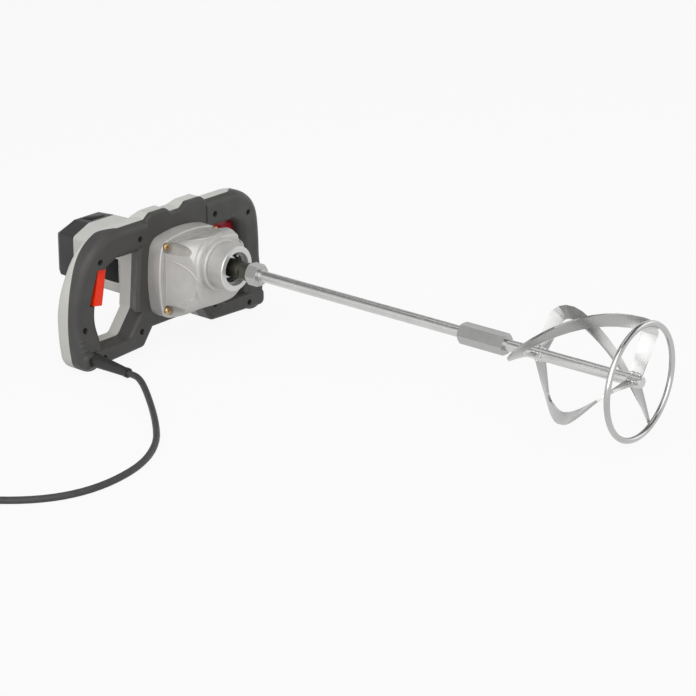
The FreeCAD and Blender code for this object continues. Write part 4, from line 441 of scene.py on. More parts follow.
def blasted_casting(name, colour, machined):
    """Blasted light alloy: coarse and fine pits, dull patches, a few flow marks and a bright turned nose."""
    finish = Finish(name, colour, metallic=0.5, roughness=0.5)
    clouds = finish.noise(30.0, detail=5.0, roughness=0.6)
    marks = finish.noise(9.0, detail=3.0, roughness=0.6, vector=finish.mapped((1.0, 2.2, 1.0)))
    tone = finish.mixed(finish.spread(clouds), finish.toned(0.88), finish.toned(1.08))
    marked = finish.mixed(finish.ranged(marks, 0.55, 0.75, 0.0, 0.35), tone, finish.toned(0.72))
    turned = finish.front_of(NOSE_FRONT_Z - NOSE_TURNED_DEPTH)
    finish.paint(finish.mixed(turned, marked, machined))
    finish.matt(finish.mixed(turned, finish.spread(clouds, 0.42, 0.6), 0.28, "VALUE"))
    finish.bump(finish.noise(190.0, detail=3.0), depth=0.18, strength=0.5)
    finish.bump(finish.noise(1400.0, roughness=0.7), depth=0.07, strength=0.9)
    return finish.material


def drawn_steel(name, colour, roughness):
    """Drawn steel with fine lines along the spindle and faint stains."""
    finish = Finish(name, colour, metallic=1.0, roughness=roughness)
    along = finish.mapped((DRAWN_LINES, DRAWN_LINES * 0.02, DRAWN_LINES), (LEAN, 0.0, 0.0))
    streaks = finish.noise(1.0, roughness=0.6, vector=along)
    stains = finish.noise(40.0, detail=4.0, roughness=0.65)
    finish.paint(finish.mixed(finish.ranged(stains, 0.35, 0.75), finish.toned(1.03), finish.toned(0.9)))
    finish.matt(finish.spread(streaks, roughness - 0.08, roughness + 0.12))
    finish.bump(streaks, depth=0.02, strength=0.3)
    return finish.material


def galvanised_steel(name, colour):
    """Bright zinc coat with a faint crystal spangle, scratches and dull spots."""
    finish = Finish(name, colour, metallic=0.95, roughness=0.26)
    spangle = finish.cells(700.0)
    strokes = finish.mapped((90.0, 1800.0, 900.0), (0.5, 0.3, 0.0))
    scratches = finish.noise(1.0, roughness=0.7, vector=strokes)
    tone = finish.mixed(finish.ranged(spangle, 0.0, 1.0), finish.toned(0.97), finish.toned(1.03))
    finish.paint(finish.mixed(finish.ranged(scratches, 0.6, 0.75, 0.0, 0.25), tone, finish.toned(1.15)))
    finish.matt(finish.spread(finish.noise(60.0, detail=4.0), 0.22, 0.3))
    finish.bump(finish.noise(120.0, detail=3.0), depth=0.03, strength=0.1)
    return finish.material


def plated_steel(name, colour, roughness, patina=0.75):
    """Plated small parts with a cloudy patina and fine turning marks."""
    finish = Finish(name, colour, metallic=1.0, roughness=roughness)
    patches = finish.noise(240.0, detail=4.0, roughness=0.6)
    finish.paint(finish.mixed(finish.ranged(patches, 0.35, 0.7), finish.toned(1.05), finish.toned(patina)))
    finish.matt(finish.spread(patches, roughness - 0.07, roughness + 0.15))
    finish.bump(finish.noise(900.0), depth=0.01, strength=0.4)
    return finish.material


def sealed_bearing(name, colour, seal):
    """Bearing with bright races and a black rubber seal between them."""
    finish = Finish(name, colour, metallic=1.0)
    rubber = finish.ring(*SEAL_RADII)
    finish.paint(finish.mixed(rubber, finish.colour, seal))
    polish = finish.spread(finish.noise(240.0, detail=4.0), 0.18, 0.3)
    finish.matt(finish.mixed(rubber, polish, 0.6, "VALUE"))
    finish.linked("Metallic", finish.mixed(rubber, 1.0, 0.0, "VALUE"))
    finish.bump(finish.noise(900.0), depth=0.01, strength=0.3)
    return finish.material


def soft_rubber(name, colour, roughness):
    """Matt rubber with dusty lighter patches and fine pores."""
    finish = Finish(name, colour, roughness=roughness)
    finish.shader.inputs["Specular IOR Level"].default_value = 0.35
    dust = finish.noise(110.0, detail=5.0, roughness=0.65)
    finish.paint(finish.mixed(finish.ranged(dust, 0.45, 0.75), finish.colour, finish.toned(1.35)))
    finish.matt(finish.spread(dust, roughness - 0.08, roughness + 0.12))
    finish.bump(finish.noise(1900.0), depth=0.04, strength=0.7)
    return finish.material


def wound_copper(name, colour):
    """Enamelled wire: rows of turns round the winding."""
    finish = Finish(name, colour, metallic=0.8, roughness=0.35)
    across = finish.mapped((1.0, 1.0, 1.0), (LEAN, 0.0, 0.6))
    inputs = {"Vector": across, "Scale": 320.0, "Distortion": 1.5}
    turns = new_node(finish.tree, "ShaderNodeTexWave", inputs).outputs["Fac"]
    finish.paint(finish.mixed(turns, finish.toned(0.55), finish.toned(1.1)))
    finish.matt(finish.spread(finish.noise(200.0), 0.28, 0.45))
    finish.bump(turns, depth=0.3, strength=0.6)
    return finish.material


def stacked_sheets(name, colour):
    """Laminated core: thin sheets stacked along the motor axis."""
    finish = Finish(name, colour, metallic=0.9, roughness=0.45)
    along = finish.mapped((20.0, 2000.0, 20.0), (LEAN, 0.0, 0.0))
    layers = finish.noise(1.0, detail=1.0, vector=along)
    finish.paint(finish.mixed(finish.ranged(layers, 0.35, 0.65), finish.toned(0.6), finish.toned(1.15)))
    finish.matt(finish.spread(finish.noise(90.0, detail=3.0), 0.35, 0.55))
    finish.bump(layers, depth=0.2, strength=0.6)
    return finish.material


def dress(nodes, material):
    """Gives CAD nodes their finish."""
    for name in nodes:
        mesh = frame["nodes"][name].data
        mesh.materials.clear()
        mesh.materials.append(material)


# Modelling helpers

def start_piece():
    """Clears the selection, so that the next operators act on the new piece alone."""
    if bpy.context.mode != "OBJECT":
        bpy.ops.object.mode_set(mode="OBJECT")
    bpy.ops.object.select_all(action="DESELECT")


def only(piece):
    """Makes one piece the selected and active one."""
    start_piece()
    piece.select_set(True)
    bpy.context.view_layer.objects.active = piece


def edit_all():
    """Opens the active piece in edit mode with everything selected."""
    bpy.ops.object.mode_set(mode="EDIT")
    bpy.ops.mesh.select_all(action="SELECT")


def applied(piece, kind, **settings):
    """Adds a modifier, sets it and applies it."""
    only(piece)
    modifier = piece.modifiers.new(kind.title(), kind)
    for name, value in settings.items():
        setattr(modifier, name, value)
    bpy.ops.object.modifier_apply(modifier=modifier.name)


def fixed(piece):
    """Moves a piece's place, turn and size into its mesh."""
    only(piece)
    bpy.ops.object.transform_apply(location=True, rotation=True, scale=True)


def joined(pieces):
    """One piece from several."""
    start_piece()
    for piece in pieces:
        piece.select_set(True)
    bpy.context.view_layer.objects.active = pieces[0]
    bpy.ops.object.join()
    return pieces[0]


def copied(piece, matrix):
    """Copy of a piece with its own mesh, moved by a matrix."""
    copy = piece.copy()
    copy.data = piece.data.copy()
    bpy.context.scene.collection.objects.link(copy)
    copy.matrix_world = matrix @ piece.matrix_world
    return copy


def settle(piece, name, body, material, place=TOOL, angle=EDGE_ANGLE):
    """Moves a piece into the row frame, smooths and paints it, and ties it to its body."""
    piece.name = name
    piece.data.name = name
    piece.matrix_world = place @ piece.matrix_world
    fixed(piece)
    bpy.ops.object.shade_smooth_by_angle(angle=math.radians(angle))
    piece.data.materials.clear()
    piece.data.materials.append(material)
    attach(piece, body)


def select_where(piece, element, test):
    """Selects the vertices or faces in edit mode whose place and normal pass a test."""
    bpy.ops.object.mode_set(mode="EDIT")
    bpy.ops.mesh.select_mode(type=element)
    bpy.ops.mesh.select_all(action="DESELECT")
    mesh = bmesh.from_edit_mesh(piece.data)
    if element == "FACE":
        for face in mesh.faces:
            face.select = test(face.calc_center_median(), face.normal)
    else:
        for vertex in mesh.verts:
            vertex.select = test(vertex.co, vertex.normal)
    mesh.select_flush_mode()
    bmesh.update_edit_mesh(piece.data)


def drawn_curve(name, kind, points, **settings):
    """Curve object through a row of points, with settings of the curve."""
    curve = bpy.data.curves.new(name, "CURVE")
    for setting, value in settings.items():
        setattr(curve, setting, value)
    spline = curve.splines.new(kind)
    spline.points.add(len(points) - 1)
    for knot, point in zip(spline.points, points):
        knot.co = (*point, 1)
    piece = bpy.data.objects.new(name, curve)
    bpy.context.scene.collection.objects.link(piece)
    return piece


def round_section(radius):
    """Settings of a curve that is a closed round bar."""
    return {"dimensions": "3D", "bevel_depth": radius, "bevel_resolution": 4, "use_fill_caps": True}


def meshed(piece):
    """Mesh made from a curve."""
    only(piece)
    bpy.ops.object.convert(target="MESH")
    return bpy.context.object


def pressed_on(piece, node, lift):
    """Lays a piece on a CAD node along its own z, at a height in millimetres."""
    applied(
        piece, "SHRINKWRAP", target=frame["nodes"][node], wrap_method="PROJECT", use_project_z=True,
        use_negative_direction=True, use_positive_direction=False, offset=lift * MM,
    )
    fixed(piece)


class MIXING_DRILL_OT_shells(bpy.types.Operator):
    """Gives the plastic halves, the cap and the triggers their moulded finishes"""

    bl_idname = "mixing_drill.shells"
    bl_label = "Shells"

    def execute(self, context):
        shade = colours()
        finishes = (
            ("Charcoal grained plastic", shade.charcoal, 1300.0, 0.08, 0.48, 0.1, ["front_frame"]),
            ("Grey grained plastic", shade.grey, 1300.0, 0.06, 0.46, 0.05, ["rear_housing"]),
            ("Dark cap plastic", shade.cap, 1100.0, 0.09, 0.5, 0.1, ["rear_cap"]),
            ("Black inner plastic", shade.inner, 900.0, 0.05, 0.5, 0.1, ["fan", "switches"]),
        )
        for name, colour, grain, depth, roughness, blotch, nodes in finishes:
            dress(nodes, moulded_plastic(name, colour, grain, depth, roughness, blotch))
        dress(["left_trigger"], trigger_plastic("Red trigger plastic", shade.trigger))
        # The right trigger takes the same plastic as the left one; its darker crimson is partly its own
        # colour and partly painted shade
        dress(["right_trigger"], trigger_plastic("Crimson trigger plastic with painted shade", shade.shaded_far_trigger))
        return {"FINISHED"}


class MIXING_DRILL_OT_metalwork(bpy.types.Operator):
    """Gives the casting, shafts, gears, rods and paddle their metals"""

    bl_idname = "mixing_drill.metalwork"
    bl_label = "Metalwork"

    def execute(self, context):
        shade = colours()
        alloy = blasted_casting("Blasted alloy", shade.casting, shade.machined)
        dress(["gearbox_cover", "bearing_plate"], alloy)
        dress(["upper_rod", "lower_rod"], drawn_steel("Drawn rod steel", shade.steel, 0.3))
        zinc = galvanised_steel("Galvanised steel", shade.galvanised)
        dress(["hex_coupling", "lock_nut", "blade_1", "blade_2", "blade_3"], zinc)
        dress(["mixing_ring"], drawn_steel("Bright ring steel", shade.ring, 0.18))
        dress(["spindle"], drawn_steel("Blackened steel", shade.black_steel, 0.4))
        dress(["frame_screws", "cap_screws"], plated_steel("Black screw steel", shade.screw, 0.35))
        gears = drawn_steel("Gear steel", shade.gear, 0.3)
        dress(["output_gear", "layshaft", "layshaft_gear", "armature_shaft"], gears)
        dress(["spindle_front_bearing"], sealed_bearing("Sealed bearing", shade.bearing, shade.seal))
        plated = plated_steel("Bearing steel", shade.bearing, 0.24, 0.92)
        dress(["armature_front_bearing", "armature_rear_bearing", "nose_circlip"], plated)
        dress(["spindle_rear_bush", "layshaft_bushes"], plated_steel("Bush bronze", shade.bronze, 0.4))
        dress(["field_core", "armature_core"], stacked_sheets("Core sheets", shade.core))
        dress(["field_coils", "armature_windings"], wound_copper("Winding copper", shade.copper))
        dress(["commutator", "brush_holders"], plated_steel("Contact brass", shade.brass, 0.3))
        dress(["carbon_brushes"], soft_rubber("Brush carbon", shade.carbon, 0.6))
        return {"FINISHED"}


def cord_points():
    """The route from inside the sleeve to the coil, then the coil's turns and its tail to the plug."""
    axis = Vector((0, -math.sin(SLEEVE_DROOP), math.cos(SLEEVE_DROOP)))
    tip = Vector(SLEEVE_TIP)
    points = [tool(*(tip - axis * CORD_HIDDEN)), tool(*tip), tool(*(tip + axis * CORD_LEAD))]
    points += [Vector((x, y + MIDDLE_Y, CORD_RADIUS)) for x, y in CORD_ROUTE[:-1]]
    x, y = CORD_ROUTE[-1]
    points.append(Vector((x, y + MIDDLE_Y, COIL_HEIGHT)))
    return points + coil_points()


def coil_axes():
    """Start of the coil, the direction to its middle and the cord's direction there."""
    start = Vector((COIL_START[0], COIL_START[1] + MIDDLE_Y, COIL_HEIGHT))
    before = Vector((CORD_ROUTE[-1][0], CORD_ROUTE[-1][1] + MIDDLE_Y, COIL_HEIGHT))
    ahead = (start - before).normalized()
    return start, Vector((-ahead.y, ahead.x, 0)), ahead


def coil_points():
    """Points of the coil: a spiral in on the floor, a climb, and a spiral out on top."""
    start, across, ahead = coil_axes()
    middle = start + across * COIL_RADIUS
    step = COIL_PITCH / 2
    count = 2 * COIL_TURNS
    inner = COIL_RADIUS - (count - 1) * step
    halves = [(i % 2 * step, COIL_RADIUS - i * step, 0) for i in range(count)]
    halves.append((step, inner, 1))
    halves += [(-step if i % 2 == 0 else 0.0, inner + (i + 2) * step, 1) for i in range(count - 3)]
    steps = sizes().coil_points
    outside = 1 / math.cos(math.pi / (2 * steps))
    points = [start]
    for number, (offset, radius, layer) in enumerate(halves):
        side = 1 if number % 2 == 0 else -1
        for i in range(steps):
            angle = math.pi * (i + 0.5) / steps
            climb = layer
            if number == count - 1:
                share = max(0.0, 2 * (i + 0.5) / steps - 1)
                climb = share * share * (3 - 2 * share)
            along = side * radius * outside * math.sin(angle)
            sideways = offset - side * radius * outside * math.cos(angle)
            points.append(middle + across * sideways + ahead * along + Vector((0, 0, climb * COIL_PITCH)))
    end = start + Vector((0, 0, COIL_PITCH))
    points.append(end)
    points.append(end + ahead * COIL_TAIL)
    return points


class MIXING_DRILL_OT_cord(bpy.types.Operator):
    """Lays the mains cord along its route and winds its spare length into a coil"""

    bl_idname = "mixing_drill.cord"
    bl_label = "Cord"

    def execute(self, context):
        points = cord_points()
        cord = drawn_curve("mains_cord", "NURBS", points, **round_section(sizes().cord_radius))
        spline = cord.data.splines[0]
        spline.order_u = 3
        spline.use_endpoint_u = True
        spline.resolution_u = 6
        shade = colours()
        cord.data.materials.append(soft_rubber("Cord rubber", shade.cord, 0.5))
        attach(cord, "housing")
        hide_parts("power_cord", "cord_coil")
        dress(["cord_sleeve", "plug_body"], soft_rubber("Sleeve rubber", shade.rubber, 0.46))
        dress(["plug_pins"], plated_steel("Pin nickel", shade.nickel, 0.2))
        dress(["cord_tie"], moulded_plastic("Tie plastic", shade.tie, 900.0, 0.04, 0.45))
        return {"FINISHED"}


def gear_screw():
    """One pan-head screw with a cross recess, its head in front of the seat, in millimetres."""
    head, height = sizes().screw_head, sizes().screw_height
    start_piece()
    bpy.ops.mesh.primitive_cylinder_add(vertices=40, radius=head, depth=height, location=(0, 0, height / 2))
    screw = bpy.context.object
    select_where(screw, "FACE", lambda place, normal: normal.z > 0.9)
    bpy.ops.mesh.bevel(offset=height * HEAD_ROUND, segments=5, affect="EDGES")
    bpy.ops.object.mode_set(mode="OBJECT")
    bars = []
    for turn in (0.0, math.pi / 2):
        start_piece()
        bpy.ops.mesh.primitive_cube_add(size=1, location=(0, 0, height), rotation=(0, 0, turn))
        bar = bpy.context.object
        bar.scale = Vector((head, head, height)) * Vector(RECESS_SHARES)
        select_where(bar, "FACE", lambda place, normal: normal.z < -0.9)
        bpy.ops.transform.resize(value=RECESS_TAPER)
        bpy.ops.object.mode_set(mode="OBJECT")
        bars.append(bar)
    for bar in bars:
        applied(screw, "BOOLEAN", operation="DIFFERENCE", object=bar, solver="EXACT")
    for bar in bars:
        bpy.data.objects.remove(bar)
    start_piece()
    length = GEAR_SCREW_SEAT_Z - GEAR_SCREW_BITE_Z
    middle = (0, 0, -length / 2)
    bpy.ops.mesh.primitive_cylinder_add(vertices=24, radius=GEAR_SCREW_SHANK_R, depth=length, location=middle)
    return joined([screw, bpy.context.object])


class MIXING_DRILL_OT_gearbox_screws(bpy.types.Operator):
    """Puts four zinc-plated screws with cross recesses into the casting's corners"""

    bl_idname = "mixing_drill.gearbox_screws"
    bl_label = "Gearbox screws"

    def execute(self, context):
        first = gear_screw()
        copies = []
        for turn, (i, j) in zip(GEAR_SCREW_TURNS, ((1, 1), (-1, 1), (-1, -1), (1, -1))):
            spot = Vector((i * GEAR_SCREW_X, GEAR_SCREW_MID_Y + j * GEAR_SCREW_Y, GEAR_SCREW_SEAT_Z))
            copies.append(copied(first, Matrix.Translation(spot) @ Matrix.Rotation(turn, 4, "Z")))
        bpy.data.objects.remove(first)
        for copy in copies:
            fixed(copy)
        screws = joined(copies)
        material = plated_steel("Yellow zinc", colours().zinc, 0.28, 0.6)
        settle(screws, "cross_screws", "housing", material)
        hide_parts("gearbox_screws")
        return {"FINISHED"}


def seat_on(node, start, way, upward):
    """Frame in millimetres where a line meets a CAD node, its z out of the surface."""
    turn = TOOL.to_3x3().normalized()
    hit, place, normal, _ = frame["nodes"][node].ray_cast(tool(*start), turn @ Vector(way))
    if not hit:
        raise RuntimeError(f"nothing of {node} lies behind {start}")
    across = (turn @ Vector(upward)).cross(normal).normalized()
    axes = Matrix((across, normal.cross(across), normal)).transposed().to_4x4()
    return Matrix.Translation(place) @ axes @ Matrix.Scale(MM, 4)


def bare_plate(size, rim=0.0):
    """Thin plate with rounded corners, or only its rim, in millimetres."""
    thickness = sizes().plate_thickness
    start_piece()
    bpy.ops.mesh.primitive_plane_add(size=1)
    plate = bpy.context.object
    plate.scale = (*size, 1)
    fixed(plate)
    edit_all()
    bpy.ops.mesh.bevel(offset=PLATE_CORNER, segments=5, affect="VERTICES")
    bpy.ops.mesh.select_all(action="SELECT")
    if rim:
        bpy.ops.mesh.inset(thickness=rim)
        bpy.ops.mesh.delete(type="FACE")
    bpy.ops.object.mode_set(mode="OBJECT")
    applied(plate, "SOLIDIFY", thickness=thickness, offset=1)
    edge = thickness * PLATE_EDGE
    applied(plate, "BEVEL", width=edge, segments=2, limit_method="ANGLE", angle_limit=1.0)
    return plate


class MIXING_DRILL_OT_plates(bpy.types.Operator):
    """Lays the bare black plates on the motor barrel and on its cap, the barrel's plate with a bright rim"""

    bl_idname = "mixing_drill.plates"
    bl_label = "Bare plates"

    def execute(self, context):
        black = moulded_plastic("Black plate lacquer", colours().plate, 700.0, 0.02, 0.4, shine=0.15)
        bright = plated_steel("Bright plate rim", colours().machined, 0.25, 0.9)
        side = seat_on("rear_housing", SIDE_PLATE_FROM, (1, 0, 0), (0, 1, 0))
        cap = seat_on("rear_cap", CAP_PLATE_FROM, (0, -1, 0), (0, 0, -1))
        settle(bare_plate(SIDE_PLATE_SIZE), "side_plate", "housing", black, side)
        settle(bare_plate(CAP_PLATE_SIZE), "cap_plate", "housing", black, cap)
        rim = sizes().plate_rim
        around = [length + 2 * rim for length in SIDE_PLATE_SIZE]
        settle(bare_plate(around, rim), "side_plate_rim", "housing", bright, side)
        return {"FINISHED"}


def flat_piece(outline, thickness):
    """Plate from an outline, its middle at zero height, in millimetres."""
    points = [(x, y, 0) for x, y in outline]
    settings = {"dimensions": "2D", "fill_mode": "BOTH", "extrude": thickness / 2}
    edge = drawn_curve("flat_piece", "POLY", points, **settings)
    edge.data.splines[0].use_cyclic_u = True
    piece = meshed(edge)
    edit_all()
    bpy.ops.mesh.remove_doubles(threshold=0.01)
    bpy.ops.mesh.normals_make_consistent(inside=False)
    bpy.ops.object.mode_set(mode="OBJECT")
    return piece


class MIXING_DRILL_OT_roof(bpy.types.Operator):
    """Closes the sloping roof of the grey half behind its two bumps"""

    bl_idname = "mixing_drill.roof"
    bl_label = "Roof"

    def execute(self, context):
        low = Vector((0, *ROOF_LOW))
        rise = Vector((0, *ROOF_HIGH)) - low
        half = [(x, (y - low.y) * rise.length / rise.y) for x, y in ROOF_HALF]
        lid = flat_piece(half + [(-x, y) for x, y in reversed(half)], ROOF_THICK)
        across = Vector((-1, 0, 0))
        ahead = rise.normalized()
        axes = Matrix((across, ahead, across.cross(ahead))).transposed().to_4x4()
        sunk = Matrix.Translation((0, 0, -ROOF_SINK - ROOF_THICK / 2))
        seat = TOOL @ Matrix.Translation(low) @ axes @ sunk
        grey = frame["nodes"]["rear_housing"].data.materials[0]
        settle(lid, "housing_roof", "housing", grey, seat)
        return {"FINISHED"}


def raised_rim(starts, way):
    """Round bead on the casting below a row of points, thinner at its ends, in the row frame."""
    radius = sizes().rim_radius * MM
    direction = TOOL.to_3x3().normalized() @ Vector(way)
    places = []
    for start in starts:
        hit, place, normal, _ = frame["nodes"]["gearbox_cover"].ray_cast(tool(*start), direction)
        if hit:
            places.append(place - normal * (RIM_SINK * radius))
    for _ in range(RIM_SMOOTHING):
        inner = [(a + b * 2 + c) / 4 for a, b, c in zip(places, places[1:], places[2:])]
        places = [places[0]] + inner + [places[-1]]
    rim = drawn_curve("casting_rim", "POLY", places, **round_section(radius))
    last = len(places) - 1
    for number, knot in enumerate(rim.data.splines[0].points):
        knot.radius = min(1.0, RIM_END + RIM_TAPER * min(number, last - number) / len(places))
    return meshed(rim)


def half_ellipse(middle, reach):
    """Points of the front half of an ellipse, from one end to the other."""
    turns = [math.pi * i / (RIM_POINTS - 1) for i in range(RIM_POINTS)]
    return [(middle[0] + reach[0] * math.cos(turn), middle[1] + reach[1] * math.sin(turn)) for turn in turns]


class MIXING_DRILL_OT_casting_rims(bpy.types.Operator):
    """Raises the cast rims round the hollows beside and above the nose"""

    bl_idname = "mixing_drill.casting_rims"
    bl_label = "Casting rims"

    def execute(self, context):
        rims = []
        for side in (1, -1):
            starts = [(RIM_FROM * side, y, z) for y, z in half_ellipse(SIDE_RIM_MIDDLE, SIDE_RIM_REACH)]
            rims.append(raised_rim(starts, (-side, 0, 0)))
        starts = [(x, RIM_FROM, z) for x, z in half_ellipse(TOP_RIM_MIDDLE, TOP_RIM_REACH)]
        rims.append(raised_rim(starts, (0, -1, 0)))
        alloy = frame["nodes"]["gearbox_cover"].data.materials[0]
        settle(joined(rims), "casting_rims", "housing", alloy, IN_PLACE, SOFT_ANGLE)
        return {"FINISHED"}


class MIXING_DRILL_OT_sleeve_shadow_ring(bpy.types.Operator):
    """Lays a thin black ring of painted shadow round the root of the cord's sleeve, where its recess in the
    frame is shaded
    """

    bl_idname = "mixing_drill.sleeve_lip"
    bl_label = "Sleeve shadow ring"

    def execute(self, context):
        start_piece()
        bpy.ops.mesh.primitive_circle_add(vertices=64, radius=SHADOW_RING_RADIUS, fill_type="NGON")
        lip = bpy.context.object
        edit_all()
        for _ in range(SHADOW_RING_STEPS):
            bpy.ops.mesh.inset(thickness=SHADOW_RING_STEP)
        bpy.ops.mesh.delete(type="FACE")
        bpy.ops.object.mode_set(mode="OBJECT")
        axis = Matrix.Translation(SLEEVE_ROOT) @ Matrix.Rotation(SLEEVE_DROOP, 4, "X")
        lip.matrix_world = TOOL @ axis @ Matrix.Translation((0, 0, SHADOW_RING_FROM))
        pressed_on(lip, "front_frame", SHADOW_RING_LIFT)
        applied(lip, "SOLIDIFY", thickness=SHADOW_RING_THICK * MM, offset=-1)
        # The ring's black is painted shadow of the recess round the sleeve, not a part of the tool
        black = soft_rubber("Sleeve shadow paint", colours().lip, 0.6)
        settle(lip, "sleeve_lip", "housing", black, IN_PLACE)
        return {"FINISHED"}


class MIXING_DRILL_OT_grip_ribs(bpy.types.Operator):
    """Raises a few low ribs across the outer half of the left grip"""

    bl_idname = "mixing_drill.grip_ribs"
    bl_label = "Grip ribs"

    def execute(self, context):
        start_piece()
        bpy.ops.mesh.primitive_grid_add(x_subdivisions=28, y_subdivisions=8, size=1)
        strip = bpy.context.object
        strip.scale = (RIB_LENGTH, RIB_WIDTH, 1)
        fixed(strip)
        ribs = []
        for y in RIB_ROWS_Y:
            place = TOOL @ Matrix.Translation((RIB_X, y, RIB_FROM)) @ Matrix.Rotation(RIB_TILT, 4, "Z")
            ribs.append(self.raised(copied(strip, place)))
        bpy.data.objects.remove(strip)
        charcoal = frame["nodes"]["front_frame"].data.materials[0]
        settle(joined(ribs), "grip_ribs", "housing", charcoal, IN_PLACE, SOFT_ANGLE)
        return {"FINISHED"}

    def raised(self, rib):
        """Lays a strip on the grip and raises its middle."""
        pressed_on(rib, "front_frame", -RIB_SINK)
        to_tool = TOOL.inverted()
        select_where(rib, "VERT", lambda place, normal: self.is_crest(to_tool @ place))
        bpy.ops.transform.translate(
            value=FORWARD * (sizes().rib_height * MM),
            use_proportional_edit=True, use_proportional_connected=True,
            proportional_edit_falloff="SMOOTH", proportional_size=RIB_SPREAD * MM,
        )
        bpy.ops.object.mode_set(mode="OBJECT")
        applied(rib, "SOLIDIFY", thickness=RIB_THICK * MM, offset=-1)
        return rib

    def is_crest(self, place):
        """Whether a point lies on the middle line of a rib, away from its ends."""
        along = place.x - RIB_X
        nearest = min(abs(place.y - row - along * math.tan(RIB_TILT)) for row in RIB_ROWS_Y)
        return nearest < CREST_WIDTH and abs(along) < RIB_LENGTH / 2 - RIB_END


def weld_bead(length):
    """Lumpy bead of weld along z, in millimetres."""
    size = sizes().weld_size
    count = max(2, round(length / size))
    lumps = []
    for i in range(count):
        start_piece()
        aside = LUMP_ASIDE[0] * size * math.sin(LUMP_ASIDE[1] * i)
        out = LUMP_OUT[0] * size * math.cos(LUMP_OUT[1] * i)
        radius = size * (1 + LUMP_SWELL[0] * math.sin(LUMP_SWELL[1] * i))
        spot = (aside, out, (i - (count - 1) / 2) * size)
        bpy.ops.mesh.primitive_ico_sphere_add(subdivisions=3, radius=radius, location=spot)
        lumps.append(bpy.context.object)
    bead = joined(lumps)
    fixed(bead)
    applied(bead, "REMESH", mode="VOXEL", voxel_size=size / 5)
    applied(bead, "SMOOTH", factor=0.5, iterations=3)
    return bead


class MIXING_DRILL_OT_welds(bpy.types.Operator):
    """Runs weld beads along the blades' roots on the rod and at the ring"""

    bl_idname = "mixing_drill.welds"
    bl_label = "Welds"

    def execute(self, context):
        root = weld_bead(ROOT_WELD)
        tack = weld_bead(TACK_WELD)
        radius = ROD_RADIUS + WELD_LIFT
        lean = math.asin((BLADE_THICK / 2 + WELD_LIFT) / radius)
        beads = []
        for number in range(BLADE_COUNT):
            for z in ARM_MIDDLES_Z:
                for side in (1, -1):
                    beads.append(copied(root, self.place(number, radius, z, side * lean)))
            beads.append(copied(tack, self.place(number, *RING_SEAT, 0.0)))
        bpy.data.objects.remove(root)
        bpy.data.objects.remove(tack)
        for bead in beads:
            fixed(bead)
        welds = joined(beads)
        material = plated_steel("Weld metal", colours().steel, 0.32, 0.7)
        settle(welds, "paddle_welds", "spindle", material, angle=SOFT_ANGLE)
        return {"FINISHED"}

    def place(self, number, radius, z, lean):
        """Turn about the spindle and move out to a blade at a height."""
        turn = BLADE_PHASE + 360 / BLADE_COUNT * number + BLADE_RATE * (z - BLADE_START_Z)
        return Matrix.Rotation(math.radians(turn) + lean, 4, "Z") @ Matrix.Translation((radius, 0, z))


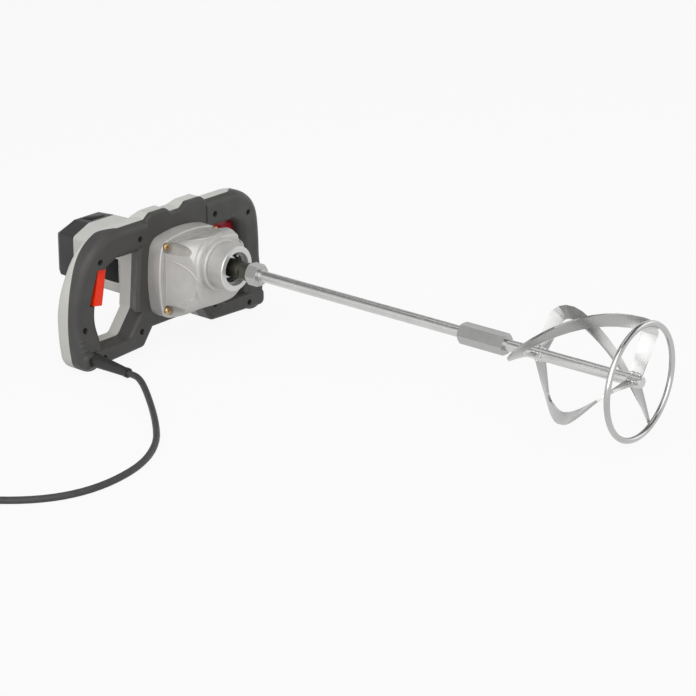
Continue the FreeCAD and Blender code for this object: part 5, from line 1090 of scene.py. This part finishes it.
class MIXING_DRILL_OT_stage(bpy.types.Operator):
    """Builds the floor, the lights, the white surroundings and the camera"""

    bl_idname = "mixing_drill.stage"
    bl_label = "Stage"

    def execute(self, context):
        self.floor()
        self.world()
        settings = studio()
        self.lamp("Key light", *KEY_LAMP, settings.key_power)
        self.lamp("Top light", *TOP_LAMP, settings.top_power)
        self.lamp("Fill light", *FILL_LAMP, settings.fill_power)
        self.camera()
        return {"FINISHED"}

    def floor(self):
        start_piece()
        bpy.ops.mesh.primitive_plane_add(size=FLOOR_SIZE, location=(0, 0, 0))
        floor = bpy.context.object
        floor.name = "studio_floor"
        finish = Finish("Studio floor", FLOOR_TONE, roughness=0.8)
        glow = new_node(finish.tree, "ShaderNodeEmission", {"Color": WHITE})
        share = calculated(finish.tree, "MULTIPLY", seen_rays(finish.tree), FLOOR_GLOW)
        shown_mix(finish.tree, share, finish.shader, glow, "Material Output")
        floor.data.materials.append(finish.material)

    def world(self):
        world = bpy.data.worlds.new("Studio")
        bpy.context.scene.world = world
        world.use_nodes = True
        tree = world.node_tree
        light = tree.nodes["Background"]
        light.inputs["Color"].default_value = WHITE
        light.inputs["Strength"].default_value = studio().world
        way = tree.nodes.new("ShaderNodeTexCoord").outputs["Generated"]
        height = new_node(tree, "ShaderNodeSeparateXYZ", {0: way}).outputs["Z"]
        ceiling = new_node(tree, "ShaderNodeMapRange", {"Value": height, **CEILING_RANGE})
        strength = ceiling.outputs["Result"]
        white = new_node(tree, "ShaderNodeBackground", {"Color": WHITE, "Strength": strength})
        shown_mix(tree, seen_rays(tree), light, white, "World Output")

    def lamp(self, name, place, aim, size, power):
        light = bpy.data.lights.new(name, "AREA")
        light.size = size
        light.energy = power
        lamp = bpy.data.objects.new(name, light)
        lamp.location = place
        lamp.rotation_euler = (Vector(aim) - Vector(place)).to_track_quat("-Z", "Y").to_euler()
        bpy.context.scene.collection.objects.link(lamp)

    def camera(self):
        place = tool(*CAMERA_PLACE)
        aim = tool(*CAMERA_AIM)
        data = bpy.data.cameras.new("Camera")
        data.lens = studio().lens
        data.sensor_width = SENSOR_WIDTH
        data.clip_end = VIEW_DEPTH
        camera = bpy.data.objects.new("Camera", data)
        turn = (aim - place).to_track_quat("-Z", "Y").to_matrix().to_4x4()
        roll = Matrix.Rotation(math.radians(studio().roll), 4, "Z")
        camera.matrix_world = Matrix.Translation(place) @ turn @ roll
        bpy.context.scene.collection.objects.link(camera)
        bpy.context.scene.camera = camera
        bpy.context.scene.view_settings.view_transform = "Standard"


STEPS = (
    MIXING_DRILL_OT_cord,
    MIXING_DRILL_OT_shells,
    MIXING_DRILL_OT_metalwork,
    MIXING_DRILL_OT_gearbox_screws,
    MIXING_DRILL_OT_plates,
    MIXING_DRILL_OT_roof,
    MIXING_DRILL_OT_casting_rims,
    MIXING_DRILL_OT_sleeve_shadow_ring,
    MIXING_DRILL_OT_grip_ribs,
    MIXING_DRILL_OT_welds,
    MIXING_DRILL_OT_stage,
)


class MIXING_DRILL_PT_panel(bpy.types.Panel):
    """Lists the steps that dress the drill"""

    bl_idname = "MIXING_DRILL_PT_panel"
    bl_label = "Mixing drill"
    bl_space_type = "VIEW_3D"
    bl_region_type = "UI"
    bl_category = "Mixing drill"

    def draw(self, context):
        for step in STEPS:
            self.layout.operator(step.bl_idname)
        for group in (colours(), sizes(), studio()):
            for name in group.bl_rna.properties.keys():
                if name not in ("rna_type", "name"):
                    self.layout.prop(group, name)


GROUPS = (MixingDrillColours, MixingDrillSizes, MixingDrillStudio)


def register():
    for kind in GROUPS + STEPS + (MIXING_DRILL_PT_panel,):
        bpy.utils.register_class(kind)
    bpy.types.Scene.mixing_drill_colours = PointerProperty(type=MixingDrillColours)
    bpy.types.Scene.mixing_drill_sizes = PointerProperty(type=MixingDrillSizes)
    bpy.types.Scene.mixing_drill_studio = PointerProperty(type=MixingDrillStudio)


def unregister():
    del bpy.types.Scene.mixing_drill_studio
    del bpy.types.Scene.mixing_drill_sizes
    del bpy.types.Scene.mixing_drill_colours
    for kind in reversed(GROUPS + STEPS + (MIXING_DRILL_PT_panel,)):
        bpy.utils.unregister_class(kind)


def main():
    register()
    for step in STEPS:
        group, name = step.bl_idname.split(".")
        getattr(getattr(bpy.ops, group), name)()


if __name__ == "__main__":
    main()
